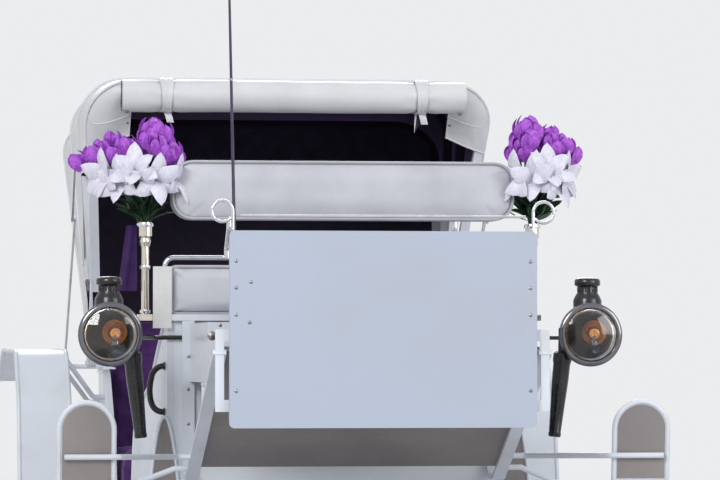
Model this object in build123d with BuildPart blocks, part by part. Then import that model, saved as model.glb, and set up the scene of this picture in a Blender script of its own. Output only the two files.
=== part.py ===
"""Horse drawn passenger carriage of the face to face kind, with a half hood and a driver's box.

Millimetres, +Z up, floor at Z = 0, the carriage faces -Y and +X is its own left side.
The origin is on the floor under the middle of the whole outline, shafts included.
"""

import math
import os

from build123d import *

os.makedirs("parts", exist_ok=True)

# Reach ahead of and behind the king pin, which sets where the king pin stands
SHAFT_PIVOT_AHEAD = 400
SHAFT_PIVOT_Z = 430
SHAFT_RADIUS = 21
SHAFT_TIP_Z = SHAFT_RADIUS
SHAFT_LENGTH = 2080
SHAFT_HALF = 330
SPLINTER_R = 20
SHAFT_DROP = math.asin((SHAFT_PIVOT_Z - SHAFT_TIP_Z) / SHAFT_LENGTH)
REACH_AHEAD = SHAFT_PIVOT_AHEAD + SHAFT_LENGTH * math.cos(SHAFT_DROP) + SHAFT_RADIUS * math.sin(SHAFT_DROP)
WHEELBASE = 2000
TAIL_BEHIND_REAR_AXLE = 595
REACH_BEHIND = WHEELBASE + TAIL_BEHIND_REAR_AXLE
KING_Y = (REACH_AHEAD - REACH_BEHIND) / 2

# Wheels and axles
REAR_AXLE_Y = KING_Y + WHEELBASE
HALF_TRACK = 750
FRONT_WHEEL_R = 460
REAR_WHEEL_R = 560
TYRE_WIDTH = 34
TYRE_DEPTH = 26
FELLOE_DEPTH = 42
FELLOE_WIDTH = 38
HUB_R = 62
HUB_LENGTH = 190
HUB_END_R = 44
SPOKE_FOOT_R = 17
SPOKE_TIP_R = 13
DISH = 14
STUB_R = 17
RUNNING = 0.05
HUB_BEARING_LENGTH = 150
AXLE_SQUARE = 44
SEAT_GAP = 0.3

# Springs, turntable and underframe
SPRING_HALF_LENGTH = 400
REAR_SPRING_HALF_LENGTH = 325
SPRING_X = 360
REAR_SPRING_X = 450
LEAF_WIDTH = 45
LEAF_THICKNESS = 8
FRONT_BOLSTER_Z = 770
BOLSTER_HEIGHT = 46
RING_R = 250
RING_WIDTH = 44
RING_THICKNESS = 20
RING_GAP = 1
KING_PIN_R = 16
SILL_X = 220
SILL_WIDTH = 50
SILL_HEIGHT = 48

# Body
FOOTWELL_FRONT_Y = KING_Y + 920
FOOTWELL_REAR_Y = KING_Y + 1500
FLOOR_TOP = 600
FLOOR_THICKNESS = 28
DECK_TOP = 985
DECK_THICKNESS = 33
DECK_BOTTOM = DECK_TOP - DECK_THICKNESS
BODY_FRONT_Y = KING_Y + 300
BODY_REAR_Y = KING_Y + 2420
BODY_REAR_FOOT_Y = KING_Y + 2210
SIDE_TOP = 1340
PANEL = 18
HALF_WIDTH_FRONT = 505
HALF_WIDTH_MIDDLE = 562
HALF_WIDTH_REAR = 532
REAR_BOTTOM = 850

# Driver's box
LEDGE_Z = 1486
LEDGE_THICKNESS = 18
LEDGE_HALF = 520
OUTER_PAD_HALF = LEDGE_HALF - 25
OUTER_PAD_BOTTOM = LEDGE_Z + LEDGE_THICKNESS
DRIVER_SEAT_FRONT_Y = KING_Y - 190
DRIVER_BOARD_TOP = 1478
DRIVER_BOX_BOTTOM = 1310
DRIVER_HALF = 440
DRIVER_CUSHION_HALF = 335
DRIVER_CUSHION_HEIGHT = 80
DRIVER_BACK_HALF = 497
DRIVER_BACK_BOTTOM = 1777
DRIVER_BACK_TOP = 1945
DRIVER_BACK_THICKNESS = 85
SIDE_BAR_X = 445
SIDE_BAR_WIDTH = 36
SIDE_BAR_THICKNESS = 14
SIDE_BAR_LOW_Z = 1035
SIDE_BAR_BEND = 55

# Dash
DASH_Y = KING_Y - 550
DASH_HALF = 420
DASH_BOTTOM = 1190
DASH_TOP = 1722
DASH_THICKNESS = 16
DASH_RAIL_RISE = 40
DASH_RAIL_Z = DASH_TOP + DASH_RAIL_RISE
DASH_LOOP_R = 27
DASH_RAIL_R = 6
WHIP_X = -398
SOCKET_R = 14
SOCKET_LOW_Z = 1430
SOCKET_HIGH_Z = 1590
SOCKET_Y = DASH_Y + DASH_THICKNESS / 2 + SOCKET_R
WHIP_LENGTH = 1500

# Hood: every bow turns about one pivot line
HOOD_PIVOT_Y = KING_Y + 2000
HOOD_PIVOT_Z = 1362
HINGE_PIN_R = 8
LANE_X = 575
LANE_STEP = 8
IRON_THICKNESS = 6
IRON_WIDTH = 26
BOW_LEG_FOOT_R = 280
BOW_THICKNESS = 30
BOW_DEPTH = 22
BOW_FOOT_OUTER = 604
BOW_TOP_OUTER = 652
BOW_CORNER_R = 150
CANVAS = 3
CANVAS_GAP = 0.5
CURTAIN_FOOT_DEG = 92.4
CURTAIN_FOOT_HALF = 548
CURTAIN_FOOT_REACH = 426
ROLL_R = 53
ROLL_HALF = 545

# Hood props
PROP_FOOT_Y = KING_Y + 2150
PROP_FOOT_Z = 1349
PROP_KNEE_Z = 1822
PROP_TOP_RADIUS = 740
STUD_ROOT_X = 620
PROP_LANE_X = 664
PROP_THICKNESS = 7
PROP_WIDTH = 20
PROP_GAP = 1
PROP_PIN_R = 7

# Fenders and steps
FENDER_X = 778
FRONT_FENDER_WIDTH = 152
REAR_FENDER_WIDTH = 160
FENDER_THICKNESS = 5
FENDER_RIM_R = 7
STEP_Z = 390
STEP_FRONT_Y = KING_Y + 960
STEP_REAR_Y = KING_Y + 1320
STEP_THICKNESS = 22

# Lamps and flower holders
LAMP_X = 690
LAMP_Y = KING_Y + 110
LAMP_Z = 1445
LAMP_R = 92
LAMP_DEPTH = 120
LAMP_ARM_R = 6.5
LAMP_STEM_X = 622
STEM_LEAN = 6
FLOWER_X = LEDGE_HALF + 48
FLOWER_POLE_R = 11
FLOWER_CUP_Z = 1770

BOWS = [
    # name, angle behind upright in degrees, radius to the top, lowest covered radius, hinge lane
    ("bow_front", -33.0, 1060, 763, 3),
    ("bow_two", -8.0, 930, 620, 2),
    ("bow_three", 14.0, 930, 330, 1),
    ("bow_rear", 34.0, 1000, 130, 0),
]


def block(x, y, z):
    """A box between the two values of each pair."""
    with Locations(((x[0] + x[1]) / 2, (y[0] + y[1]) / 2, (z[0] + z[1]) / 2)):
        Box(x[1] - x[0], y[1] - y[0], z[1] - z[0])


def rod(start, end, radius, mode=Mode.ADD):
    """A straight round bar from start to end."""
    run = Vector(*end) - Vector(*start)
    with Locations(Plane(origin=start, z_dir=run).location):
        Cylinder(radius, run.length, align=(Align.CENTER, Align.CENTER, Align.MIN), mode=mode)


def bent_rod(points, bend, radius):
    """A round bar bent at each inner point."""
    with BuildPart(mode=Mode.PRIVATE) as bar:
        with BuildLine():
            FilletPolyline(*points, radius=bend)
        with BuildSketch(Plane(origin=points[0], z_dir=Vector(*points[1]) - Vector(*points[0]))):
            Circle(radius)
        sweep()
    add(bar.part)


def bent_bar(points, bend, width, thickness):
    """A flat bar, wide along X, bent in a plane across X."""
    run = Vector(*points[1]) - Vector(*points[0])
    with BuildPart(mode=Mode.PRIVATE) as bar:
        with BuildLine():
            FilletPolyline(*points, radius=bend)
        with BuildSketch(Plane(origin=points[0], x_dir=(1, 0, 0), z_dir=run)):
            Rectangle(width, thickness)
        sweep()
    add(bar.part)


def side_plate(x0, x1, points):
    """A plate between two X values with a straight-edged outline of (y, z) points."""
    with BuildPart(mode=Mode.PRIVATE) as plate:
        with BuildSketch(Plane.YZ.offset(x0)):
            with BuildLine():
                Polyline(*points, close=True)
            make_face()
        extrude(amount=x1 - x0)
    add(plate.part)


def both_sides():
    """Copies what stands at +X to -X."""
    mirror(about=Plane.YZ)


def body_half_width(y):
    """Half the outer width of the body at a place along it."""
    middle = (BODY_FRONT_Y + BODY_REAR_Y) / 2
    half_length = (BODY_REAR_Y - BODY_FRONT_Y) / 2
    along = (y - middle) / half_length
    chord = (HALF_WIDTH_FRONT + HALF_WIDTH_REAR) / 2 + along * (HALF_WIDTH_REAR - HALF_WIDTH_FRONT) / 2
    bow = HALF_WIDTH_MIDDLE - (HALF_WIDTH_FRONT + HALF_WIDTH_REAR) / 2
    return chord + bow * (1 - along * along)


def plan_outline(inset, margin=0.0):
    """The body's plan, drawn in by inset on both sides and lengthened by margin."""
    places = (BODY_FRONT_Y - margin, (BODY_FRONT_Y + BODY_REAR_Y) / 2, BODY_REAR_Y + margin)
    right = [(body_half_width(y) - inset, y) for y in places]
    left = [(-x, y) for x, y in right]
    with BuildSketch(mode=Mode.PRIVATE) as plan:
        with BuildLine():
            ThreePointArc(*right)
            Line(right[-1], left[-1])
            ThreePointArc(*reversed(left))
            Line(left[0], right[0])
        make_face()
    return plan.sketch


def keep_inside(z0, z1):
    """Trims a sub-part to the space between the two side panels."""
    with BuildPart(mode=Mode.PRIVATE) as space:
        with BuildSketch(Plane.XY.offset(z0)):
            add(plan_outline(PANEL + SEAT_GAP, 60))
        extrude(amount=z1 - z0)
    add(space.part, mode=Mode.INTERSECT)


# Side panels: a band curved in plan, cut to the boat-like profile that dips at the entry
SIDE_PROFILE = [
    # y behind the king pin, z, corner radius
    (300, 952, 40),
    (300, LEDGE_Z, 10),
    (345, LEDGE_Z, 30),
    (560, 1310, 260),
    (860, 1215, 190),
    (1000, FLOOR_TOP + 60, 150),
    (1420, FLOOR_TOP + 60, 150),
    (1560, 1120, 190),
    (1830, SIDE_TOP, 200),
    (2420, SIDE_TOP, 12),
    (2210, REAR_BOTTOM, 90),
    (1660, REAR_BOTTOM - 10, 160),
    (1520, FLOOR_TOP - FLOOR_THICKNESS, 120),
    (935, FLOOR_TOP - FLOOR_THICKNESS, 70),
    (915, 952, 12),
]


with BuildPart() as side_right:
    with BuildSketch(Plane.XY.offset(FLOOR_TOP - FLOOR_THICKNESS)):
        add(plan_outline(0))
        add(plan_outline(PANEL, 60), mode=Mode.SUBTRACT)
        with Locations((2000, 0)):
            Rectangle(4000, 8000, mode=Mode.SUBTRACT)
    extrude(amount=LEDGE_Z - FLOOR_TOP + FLOOR_THICKNESS)
    with BuildSketch(Plane.YZ.offset(-1000)):
        with BuildLine():
            FilletPolyline(
                *[(KING_Y + y, z) for y, z, _ in SIDE_PROFILE],
                radius=[radius for _, _, radius in SIDE_PROFILE],
                close=True,
            )
        make_face()
    extrude(amount=2000, mode=Mode.INTERSECT)
side_right.part.label = "side_right"
export_step(side_right.part, "parts/side_right.step")

with BuildPart() as side_left:
    add(side_right.part.mirror(Plane.YZ))
side_left.part.label = "side_left"
export_step(side_left.part, "parts/side_left.step")

with BuildPart() as floor_pan:
    block((-600, 600), (FOOTWELL_FRONT_Y, FOOTWELL_REAR_Y + 18), (FLOOR_TOP - FLOOR_THICKNESS, FLOOR_TOP))
    keep_inside(FLOOR_TOP - FLOOR_THICKNESS, FLOOR_TOP)
floor_pan.part.label = "floor_pan"
export_step(floor_pan.part, "parts/floor_pan.step")

with BuildPart() as front_seat_box:
    block((-600, 600), (BODY_FRONT_Y + PANEL, FOOTWELL_FRONT_Y + PANEL), (DECK_BOTTOM, DECK_TOP))
    block((-600, 600), (FOOTWELL_FRONT_Y, FOOTWELL_FRONT_Y + PANEL), (FLOOR_TOP, DECK_BOTTOM))
    keep_inside(FLOOR_TOP, DECK_TOP)
front_seat_box.part.label = "front_seat_box"
export_step(front_seat_box.part, "parts/front_seat_box.step")

with BuildPart() as rear_seat_box:
    block((-600, 600), (FOOTWELL_REAR_Y, KING_Y + 2190), (DECK_BOTTOM, DECK_TOP))
    block((-600, 600), (FOOTWELL_REAR_Y, FOOTWELL_REAR_Y + PANEL), (FLOOR_TOP, DECK_BOTTOM))
    keep_inside(FLOOR_TOP, DECK_TOP)
rear_seat_box.part.label = "rear_seat_box"
export_step(rear_seat_box.part, "parts/rear_seat_box.step")

with BuildPart() as front_wall:
    block((-600, 600), (BODY_FRONT_Y, BODY_FRONT_Y + PANEL - SEAT_GAP), (DECK_BOTTOM, LEDGE_Z))
    keep_inside(DECK_BOTTOM, LEDGE_Z)
    block((-LEDGE_HALF, LEDGE_HALF), (BODY_FRONT_Y - 16, BODY_FRONT_Y + 44), (LEDGE_Z, OUTER_PAD_BOTTOM))
front_wall.part.label = "front_wall"
export_step(front_wall.part, "parts/front_wall.step")

# Rear shell: the bottom under the rear seat and the sloping rear wall
with BuildPart() as rear_wall:
    side_plate(
        -600,
        600,
        [
            (KING_Y + 1535, FLOOR_TOP - FLOOR_THICKNESS + 20),
            (KING_Y + 1680, REAR_BOTTOM),
            (BODY_REAR_FOOT_Y, REAR_BOTTOM),
            (BODY_REAR_FOOT_Y, REAR_BOTTOM + PANEL),
            (KING_Y + 1672, REAR_BOTTOM + PANEL),
            (KING_Y + 1520, FLOOR_TOP - FLOOR_THICKNESS + 30),
        ],
    )
    side_plate(
        -600,
        600,
        [
            (BODY_REAR_FOOT_Y - 3, REAR_BOTTOM),
            (BODY_REAR_FOOT_Y + PANEL - 4, REAR_BOTTOM),
            (BODY_REAR_Y - 2, SIDE_TOP - 10),
            (BODY_REAR_Y - 2, SIDE_TOP),
            (BODY_REAR_Y - 24, SIDE_TOP),
        ],
    )
    keep_inside(FLOOR_TOP - FLOOR_THICKNESS, SIDE_TOP)
rear_wall.part.label = "rear_wall"
export_step(rear_wall.part, "parts/rear_wall.step")

# Sills: two bent ash beams that follow the drop of the footwell
STEP_HANGERS = (KING_Y + 1030, KING_Y + 1280)
STEP_HANGER_X = 548
SILL_TOP_FRONT = DECK_BOTTOM
with BuildPart() as underframe:
    bent_bar(
        [
            (SILL_X, KING_Y - 330, SILL_TOP_FRONT - SILL_HEIGHT / 2),
            (SILL_X, KING_Y + 885, SILL_TOP_FRONT - SILL_HEIGHT / 2),
            (SILL_X, KING_Y + 890, FLOOR_TOP - FLOOR_THICKNESS - SILL_HEIGHT / 2),
            (SILL_X, KING_Y + 1570, FLOOR_TOP - FLOOR_THICKNESS - SILL_HEIGHT / 2),
            (SILL_X, KING_Y + 1760, REAR_BOTTOM - SILL_HEIGHT / 2),
            (SILL_X, KING_Y + 2230, REAR_BOTTOM - SILL_HEIGHT / 2),
        ],
        [28, 28, 90, 90],
        SILL_WIDTH,
        SILL_HEIGHT,
    )
    both_sides()
    for cross_y in (KING_Y - 300, KING_Y + 360):
        block(
            (-SILL_X, SILL_X),
            (cross_y - 22, cross_y + 22),
            (SILL_TOP_FRONT - SILL_HEIGHT, SILL_TOP_FRONT - 6),
        )
    for cross_y in STEP_HANGERS:
        block(
            (-STEP_HANGER_X, STEP_HANGER_X),
            (cross_y - 20, cross_y + 20),
            (FLOOR_TOP - FLOOR_THICKNESS - SILL_HEIGHT, FLOOR_TOP - FLOOR_THICKNESS),
        )
    block(
        (-REAR_SPRING_X - 35, REAR_SPRING_X + 35),
        (REAR_AXLE_Y - 25, REAR_AXLE_Y + 25),
        (REAR_BOTTOM - SILL_HEIGHT, REAR_BOTTOM),
    )
underframe.part.label = "underframe"
export_step(underframe.part, "parts/underframe.step")


def axle(y, z):
    """A square axle with two round stubs for the hubs."""
    stub_start = HALF_TRACK - HUB_LENGTH / 2 - 6
    block((-stub_start, stub_start), (y - AXLE_SQUARE / 2, y + AXLE_SQUARE / 2),
          (z - AXLE_SQUARE / 2, z + AXLE_SQUARE / 2))
    for sign in (1, -1):
        rod((sign * stub_start, y, z), (sign * (HALF_TRACK + HUB_BEARING_LENGTH / 2 - 8), y, z), STUB_R)


def elliptic_spring(x, y, z_low, z_high, half_length):
    """A full elliptic leaf spring between an axle pad and a bolster pad."""
    middle = (z_low + z_high) / 2
    with BuildPart(mode=Mode.PRIVATE) as spring:
        with BuildSketch(Plane.YZ.offset(x - LEAF_WIDTH / 2)):
            for foot, sign in ((z_low, 1), (z_high, -1)):
                with BuildLine():
                    outer = ThreePointArc(
                        (y - half_length, middle),
                        (y, foot),
                        (y + half_length, middle),
                    )
                    inner = ThreePointArc(
                        (y - half_length, middle + sign * LEAF_THICKNESS * 1.2),
                        (y, foot + sign * LEAF_THICKNESS * 2.6),
                        (y + half_length, middle + sign * LEAF_THICKNESS * 1.2),
                    )
                    Line(outer @ 0, inner @ 0)
                    Line(outer @ 1, inner @ 1)
                make_face()
        extrude(amount=LEAF_WIDTH)
        for end in (y - half_length, y + half_length):
            rod((x - LEAF_WIDTH / 2 - 5, end, middle), (x + LEAF_WIDTH / 2 + 5, end, middle), 14)
    add(spring.part)


with BuildPart() as front_axle:
    axle(KING_Y, FRONT_WHEEL_R)
front_axle.part.label = "front_axle"
export_step(front_axle.part, "parts/front_axle.step")

with BuildPart() as rear_axle:
    axle(REAR_AXLE_Y, REAR_WHEEL_R)
rear_axle.part.label = "rear_axle"
export_step(rear_axle.part, "parts/rear_axle.step")

with BuildPart() as front_springs:
    for spring_x in (-SPRING_X, SPRING_X):
        elliptic_spring(
            spring_x, KING_Y, FRONT_WHEEL_R + AXLE_SQUARE / 2, FRONT_BOLSTER_Z, SPRING_HALF_LENGTH
        )
front_springs.part.label = "front_springs"
export_step(front_springs.part, "parts/front_springs.step")

with BuildPart() as rear_springs:
    for spring_x in (-REAR_SPRING_X, REAR_SPRING_X):
        elliptic_spring(
            spring_x,
            REAR_AXLE_Y,
            REAR_WHEEL_R + AXLE_SQUARE / 2,
            REAR_BOTTOM - SILL_HEIGHT,
            REAR_SPRING_HALF_LENGTH,
        )
rear_springs.part.label = "rear_springs"
export_step(rear_springs.part, "parts/rear_springs.step")

# Turntable: lower ring on the steered fore-carriage, upper ring under the sills
LOWER_RING_Z = FRONT_BOLSTER_Z + BOLSTER_HEIGHT
UPPER_RING_Z = LOWER_RING_Z + RING_THICKNESS + RING_GAP
UPPER_RING_TOP = UPPER_RING_Z + RING_THICKNESS
SILL_BOTTOM = SILL_TOP_FRONT - SILL_HEIGHT


def ring(z):
    """One flat ring of the turntable with a plate across it for the king pin."""
    with BuildPart(mode=Mode.PRIVATE) as plate:
        with BuildSketch(Plane.XY.offset(z)):
            with Locations((0, KING_Y)):
                Circle(RING_R)
                Circle(RING_R - RING_WIDTH, mode=Mode.SUBTRACT)
                Rectangle(2 * RING_R - RING_WIDTH, 70)
        extrude(amount=RING_THICKNESS)
    add(plate.part)


with BuildPart() as turntable_upper:
    ring(UPPER_RING_Z)
    for sign in (1, -1):
        block(
            (sign * SILL_X - SILL_WIDTH / 2, sign * SILL_X + SILL_WIDTH / 2),
            (KING_Y - 90, KING_Y + 90),
            (UPPER_RING_TOP, SILL_BOTTOM),
        )
    block((-SILL_X, SILL_X), (KING_Y - 30, KING_Y + 30), (UPPER_RING_TOP, SILL_BOTTOM))
    with Locations((0, KING_Y, UPPER_RING_Z)):
        Cylinder(KING_PIN_R + RUNNING, 400, mode=Mode.SUBTRACT)
turntable_upper.part.label = "turntable_upper"
export_step(turntable_upper.part, "parts/turntable_upper.step")

FUTCHELL_X = 170
with BuildPart() as fore_carriage:
    ring(LOWER_RING_Z)
    block((-SPRING_X - 35, SPRING_X + 35), (KING_Y - 35, KING_Y + 35), (FRONT_BOLSTER_Z, LOWER_RING_Z))
    rod((0, KING_Y, LOWER_RING_Z), (0, KING_Y, SILL_BOTTOM - 2), KING_PIN_R)
    bent_bar(
        [
            (FUTCHELL_X, KING_Y + 230, LOWER_RING_Z - 22),
            (FUTCHELL_X, KING_Y - 120, LOWER_RING_Z - 22),
            (FUTCHELL_X, KING_Y - SHAFT_PIVOT_AHEAD + 130, SHAFT_PIVOT_Z),
            (FUTCHELL_X, KING_Y - SHAFT_PIVOT_AHEAD + 45, SHAFT_PIVOT_Z),
        ],
        45,
        34,
        34,
    )
    block(
        (FUTCHELL_X - 17, FUTCHELL_X + 17),
        (KING_Y - SHAFT_PIVOT_AHEAD, KING_Y - SHAFT_PIVOT_AHEAD + 46),
        (SHAFT_PIVOT_Z - 17, SHAFT_PIVOT_Z + 17),
    )
    both_sides()
    rod(
        (-SHAFT_HALF - 60, KING_Y - SHAFT_PIVOT_AHEAD, SHAFT_PIVOT_Z),
        (SHAFT_HALF + 60, KING_Y - SHAFT_PIVOT_AHEAD, SHAFT_PIVOT_Z),
        SPLINTER_R,
    )
fore_carriage.part.label = "fore_carriage"
export_step(fore_carriage.part, "parts/fore_carriage.step")

WHEELS = [
    # name, side, y, radius, spokes
    ("front_left", 1, KING_Y, FRONT_WHEEL_R, 12),
    ("front_right", -1, KING_Y, FRONT_WHEEL_R, 12),
    ("rear_left", 1, REAR_AXLE_Y, REAR_WHEEL_R, 14),
    ("rear_right", -1, REAR_AXLE_Y, REAR_WHEEL_R, 14),
]


def wheel(sign, y, radius, spokes):
    """A dished wooden wheel: hub, tapered spokes and felloe, with a cap on the hub's outer end."""
    hub = Plane(origin=(sign * HALF_TRACK, y, radius), x_dir=(0, 1, 0), z_dir=(sign, 0, 0))
    felloe_outer = radius - TYRE_DEPTH
    felloe_inner = felloe_outer - FELLOE_DEPTH
    half = HUB_LENGTH / 2
    with BuildPart() as body:
        with BuildSketch(Plane(origin=hub.origin, x_dir=(0, 1, 0), z_dir=(0, 0, -sign))):
            with BuildLine():
                Polyline(
                    (0, -half),
                    (HUB_END_R, -half),
                    (HUB_END_R, -half + 28),
                    (HUB_R, -30),
                    (HUB_R, 24),
                    (HUB_END_R, half - 24),
                    (HUB_END_R - 6, half - 24),
                    (HUB_END_R - 6, half + 8),
                    (HUB_END_R - 20, half + 18),
                    (0, half + 18),
                    close=True,
                )
            make_face()
        revolve(axis=Axis(hub.origin, hub.z_dir))
        with BuildSketch(hub.offset(DISH - FELLOE_WIDTH / 2)):
            Circle(felloe_outer)
            Circle(felloe_inner, mode=Mode.SUBTRACT)
        extrude(amount=FELLOE_WIDTH)
        for index in range(spokes):
            turn = 2 * math.pi * index / spokes
            out = Vector(0, math.cos(turn), math.sin(turn))
            foot = Plane(origin=hub.origin + out * (HUB_R - 12), x_dir=(1, 0, 0), z_dir=out)
            tip = Plane(
                origin=hub.origin + out * (felloe_inner + 6) + Vector(sign * DISH, 0, 0),
                x_dir=(1, 0, 0),
                z_dir=out,
            )
            with BuildSketch(foot):
                RegularPolygon(SPOKE_FOOT_R, 6)
            with BuildSketch(tip):
                RegularPolygon(SPOKE_TIP_R, 6)
            loft()
        with Locations(hub.offset(-half - 1)):
            Cylinder(
                STUB_R + RUNNING,
                half + 1 + HUB_BEARING_LENGTH / 2,
                align=(Align.CENTER, Align.CENTER, Align.MIN),
                mode=Mode.SUBTRACT,
            )
    return body.part


def tyre(sign, y, radius):
    """A solid rubber tyre with rounded shoulders."""
    centre = (sign * (HALF_TRACK + DISH), y, radius)
    with BuildPart() as band:
        with BuildSketch(Plane(origin=centre, x_dir=(0, 1, 0), z_dir=(0, 0, -1))):
            with Locations((radius - TYRE_DEPTH / 2, 0)):
                RectangleRounded(TYRE_DEPTH, TYRE_WIDTH, 9)
        revolve(axis=Axis(centre, (1, 0, 0)))
    return band.part


for name, sign, wheel_y, radius, spokes in WHEELS:
    wheel_solid = wheel(sign, wheel_y, radius, spokes)
    wheel_solid.label = "wheel_" + name
    export_step(wheel_solid, "parts/wheel_" + name + ".step")
    tyre_solid = tyre(sign, wheel_y, radius)
    tyre_solid.label = "tyre_" + name
    export_step(tyre_solid, "parts/tyre_" + name + ".step")

# Shafts, hinged on the splinter bar and let down on the floor in front
SHAFT_AXIS_Y = KING_Y - SHAFT_PIVOT_AHEAD


def along_shaft(distance, lift=0.0):
    """A (y, z) place at a distance from the hinge along the shafts, square lift above them."""
    return (
        SHAFT_AXIS_Y - distance * math.cos(SHAFT_DROP) - lift * math.sin(SHAFT_DROP),
        SHAFT_PIVOT_Z - distance * math.sin(SHAFT_DROP) + lift * math.cos(SHAFT_DROP),
    )


SHAFT_BEND_AT = 620
SHAFT_STRAIGHT_AFTER = 60
SHAFT_TIP_HALF = 270
CROSS_BAR_AT = 300
with BuildPart() as shafts:
    heel = along_shaft(34)
    bend = along_shaft(SHAFT_BEND_AT)
    tip = Vector(SHAFT_TIP_HALF, *along_shaft(SHAFT_LENGTH))
    straight = Vector(SHAFT_HALF, *bend) + (tip - Vector(SHAFT_HALF, *bend)).normalized() * SHAFT_STRAIGHT_AFTER
    bent_rod(
        [(SHAFT_HALF, *heel), (SHAFT_HALF, *bend), tuple(straight)],
        900,
        SHAFT_RADIUS,
    )
    rod(tuple(straight), tuple(tip), SHAFT_RADIUS)
    both_sides()
    cross = along_shaft(CROSS_BAR_AT)
    rod((-SHAFT_HALF, *cross), (SHAFT_HALF, *cross), 19)
    for sign in (1, -1):
        with Locations(
            Plane(
                origin=(sign * SHAFT_HALF - 22, SHAFT_AXIS_Y, SHAFT_PIVOT_Z), z_dir=(1, 0, 0)
            ).location
        ):
            Cylinder(36, 44, align=(Align.CENTER, Align.CENTER, Align.MIN))
    rod(
        (-SHAFT_HALF - 80, SHAFT_AXIS_Y, SHAFT_PIVOT_Z),
        (SHAFT_HALF + 80, SHAFT_AXIS_Y, SHAFT_PIVOT_Z),
        SPLINTER_R + 0.3,
        mode=Mode.SUBTRACT,
    )
shafts.part.label = "shafts"
export_step(shafts.part, "parts/shafts.step")

SWINGLE_HALF = 260
SWINGLE_R = 16
SWINGLE_LIFT = 19 + SWINGLE_R + 5
with BuildPart() as swingletree:
    centre = along_shaft(CROSS_BAR_AT, SWINGLE_LIFT)
    rod((-SWINGLE_HALF, *centre), (SWINGLE_HALF, *centre), SWINGLE_R)
    for sign in (1, -1):
        hook = along_shaft(CROSS_BAR_AT + 46, SWINGLE_LIFT)
        rod((sign * (SWINGLE_HALF - 22), *centre), (sign * (SWINGLE_HALF - 22), *hook), 6)
        with Locations(Location((sign * (SWINGLE_HALF - 22), *hook))):
            Sphere(10)
    rod((0, *along_shaft(CROSS_BAR_AT, 19.5)), (0, *along_shaft(CROSS_BAR_AT, SWINGLE_LIFT)), 12)
swingletree.part.label = "swingletree"
export_step(swingletree.part, "parts/swingletree.step")

# Fenders: one section swept along a line of (y behind the king pin, z), with a bead on each edge
FRONT_FENDER_Y = -225
FRONT_FENDER_TIP_Z = 1257
FRONT_FENDER_LINE = [
    (FRONT_FENDER_Y, FRONT_FENDER_TIP_Z - FRONT_FENDER_WIDTH / 2),
    (FRONT_FENDER_Y + 20, 990),
    (330, 975),
    (650, 800),
    (770, 520),
    (900, STEP_Z),
    (960, STEP_Z),
]
REAR_FENDER_LINE = [
    (1320, STEP_Z),
    (1374, STEP_Z),
    (1392, 760),
    (1500, 1240),
    (1650, 1398),
    (2340, 1404),
    (TAIL_BEHIND_REAR_AXLE + WHEELBASE - 5, 1300),
]


def fender(x, width, line, bends):
    """A fender strip with beaded edges."""
    points = [(x, KING_Y + y, z) for y, z in line]
    run = Vector(*points[1]) - Vector(*points[0])
    with BuildPart(mode=Mode.PRIVATE) as strip:
        with BuildLine():
            FilletPolyline(*points, radius=bends)
        with BuildSketch(Plane(origin=points[0], x_dir=(1, 0, 0), z_dir=run)):
            Rectangle(width, FENDER_THICKNESS)
            with Locations((-width / 2, 0), (width / 2, 0)):
                Circle(FENDER_RIM_R)
        sweep()
    add(strip.part)


def fender_tip(x, width, line):
    """The half round end above a fender strip's first point."""
    start, after = [Vector(x, KING_Y + y, z) for y, z in line[:2]]
    face = Plane(origin=start, x_dir=(1, 0, 0), z_dir=Vector(1, 0, 0).cross(start - after))
    with BuildPart(mode=Mode.PRIVATE) as tip:
        with BuildSketch(face):
            Circle(width / 2)
            with Locations((0, -width / 2)):
                Rectangle(width + 2, width, mode=Mode.SUBTRACT)
        extrude(amount=FENDER_THICKNESS / 2, both=True)
        with BuildLine(face):
            CenterArc((0, 0), width / 2, 0, 180)
        with BuildSketch(Plane(origin=start + Vector(width / 2, 0, 0), x_dir=(1, 0, 0), z_dir=face.y_dir)):
            Circle(FENDER_RIM_R)
        sweep()
    add(tip.part)


STAY_R = 8
STAY_START_X = SIDE_BAR_X + SIDE_BAR_WIDTH / 2 + SEAT_GAP
STAY_RUN_OUT = 36
FRONT_STAY_Y = FRONT_FENDER_Y - 6
REAR_STAY_SEAT = 0.8
REAR_STAYS = [
    # y behind the king pin, z at the body, z at the fender
    (1850, 1250, 1397),
    (2300, 1230, 1400),
]
with BuildPart() as front_fenders:
    fender(FENDER_X, FRONT_FENDER_WIDTH, FRONT_FENDER_LINE, [70, 380, 200, 150, 60])
    fender_tip(FENDER_X, FRONT_FENDER_WIDTH, FRONT_FENDER_LINE)
    bent_rod(
        [
            (STAY_START_X, KING_Y + 60, 1099),
            (STAY_START_X + STAY_RUN_OUT, KING_Y + 60, 1099),
            (FENDER_X - FRONT_FENDER_WIDTH / 2 - 12, KING_Y + FRONT_STAY_Y, 1106),
            (FENDER_X + FRONT_FENDER_WIDTH / 2 - 14, KING_Y + FRONT_STAY_Y, 1106),
        ],
        20,
        STAY_R,
    )
    bent_rod(
        [
            (STAY_START_X, KING_Y + 130, 1064),
            (STAY_START_X + STAY_RUN_OUT, KING_Y + 130, 1064),
            (FENDER_X - FRONT_FENDER_WIDTH / 2 + 4, KING_Y + 200, 981),
        ],
        20,
        STAY_R,
    )
    both_sides()
front_fenders.part.label = "front_fenders"
export_step(front_fenders.part, "parts/front_fenders.step")

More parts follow.
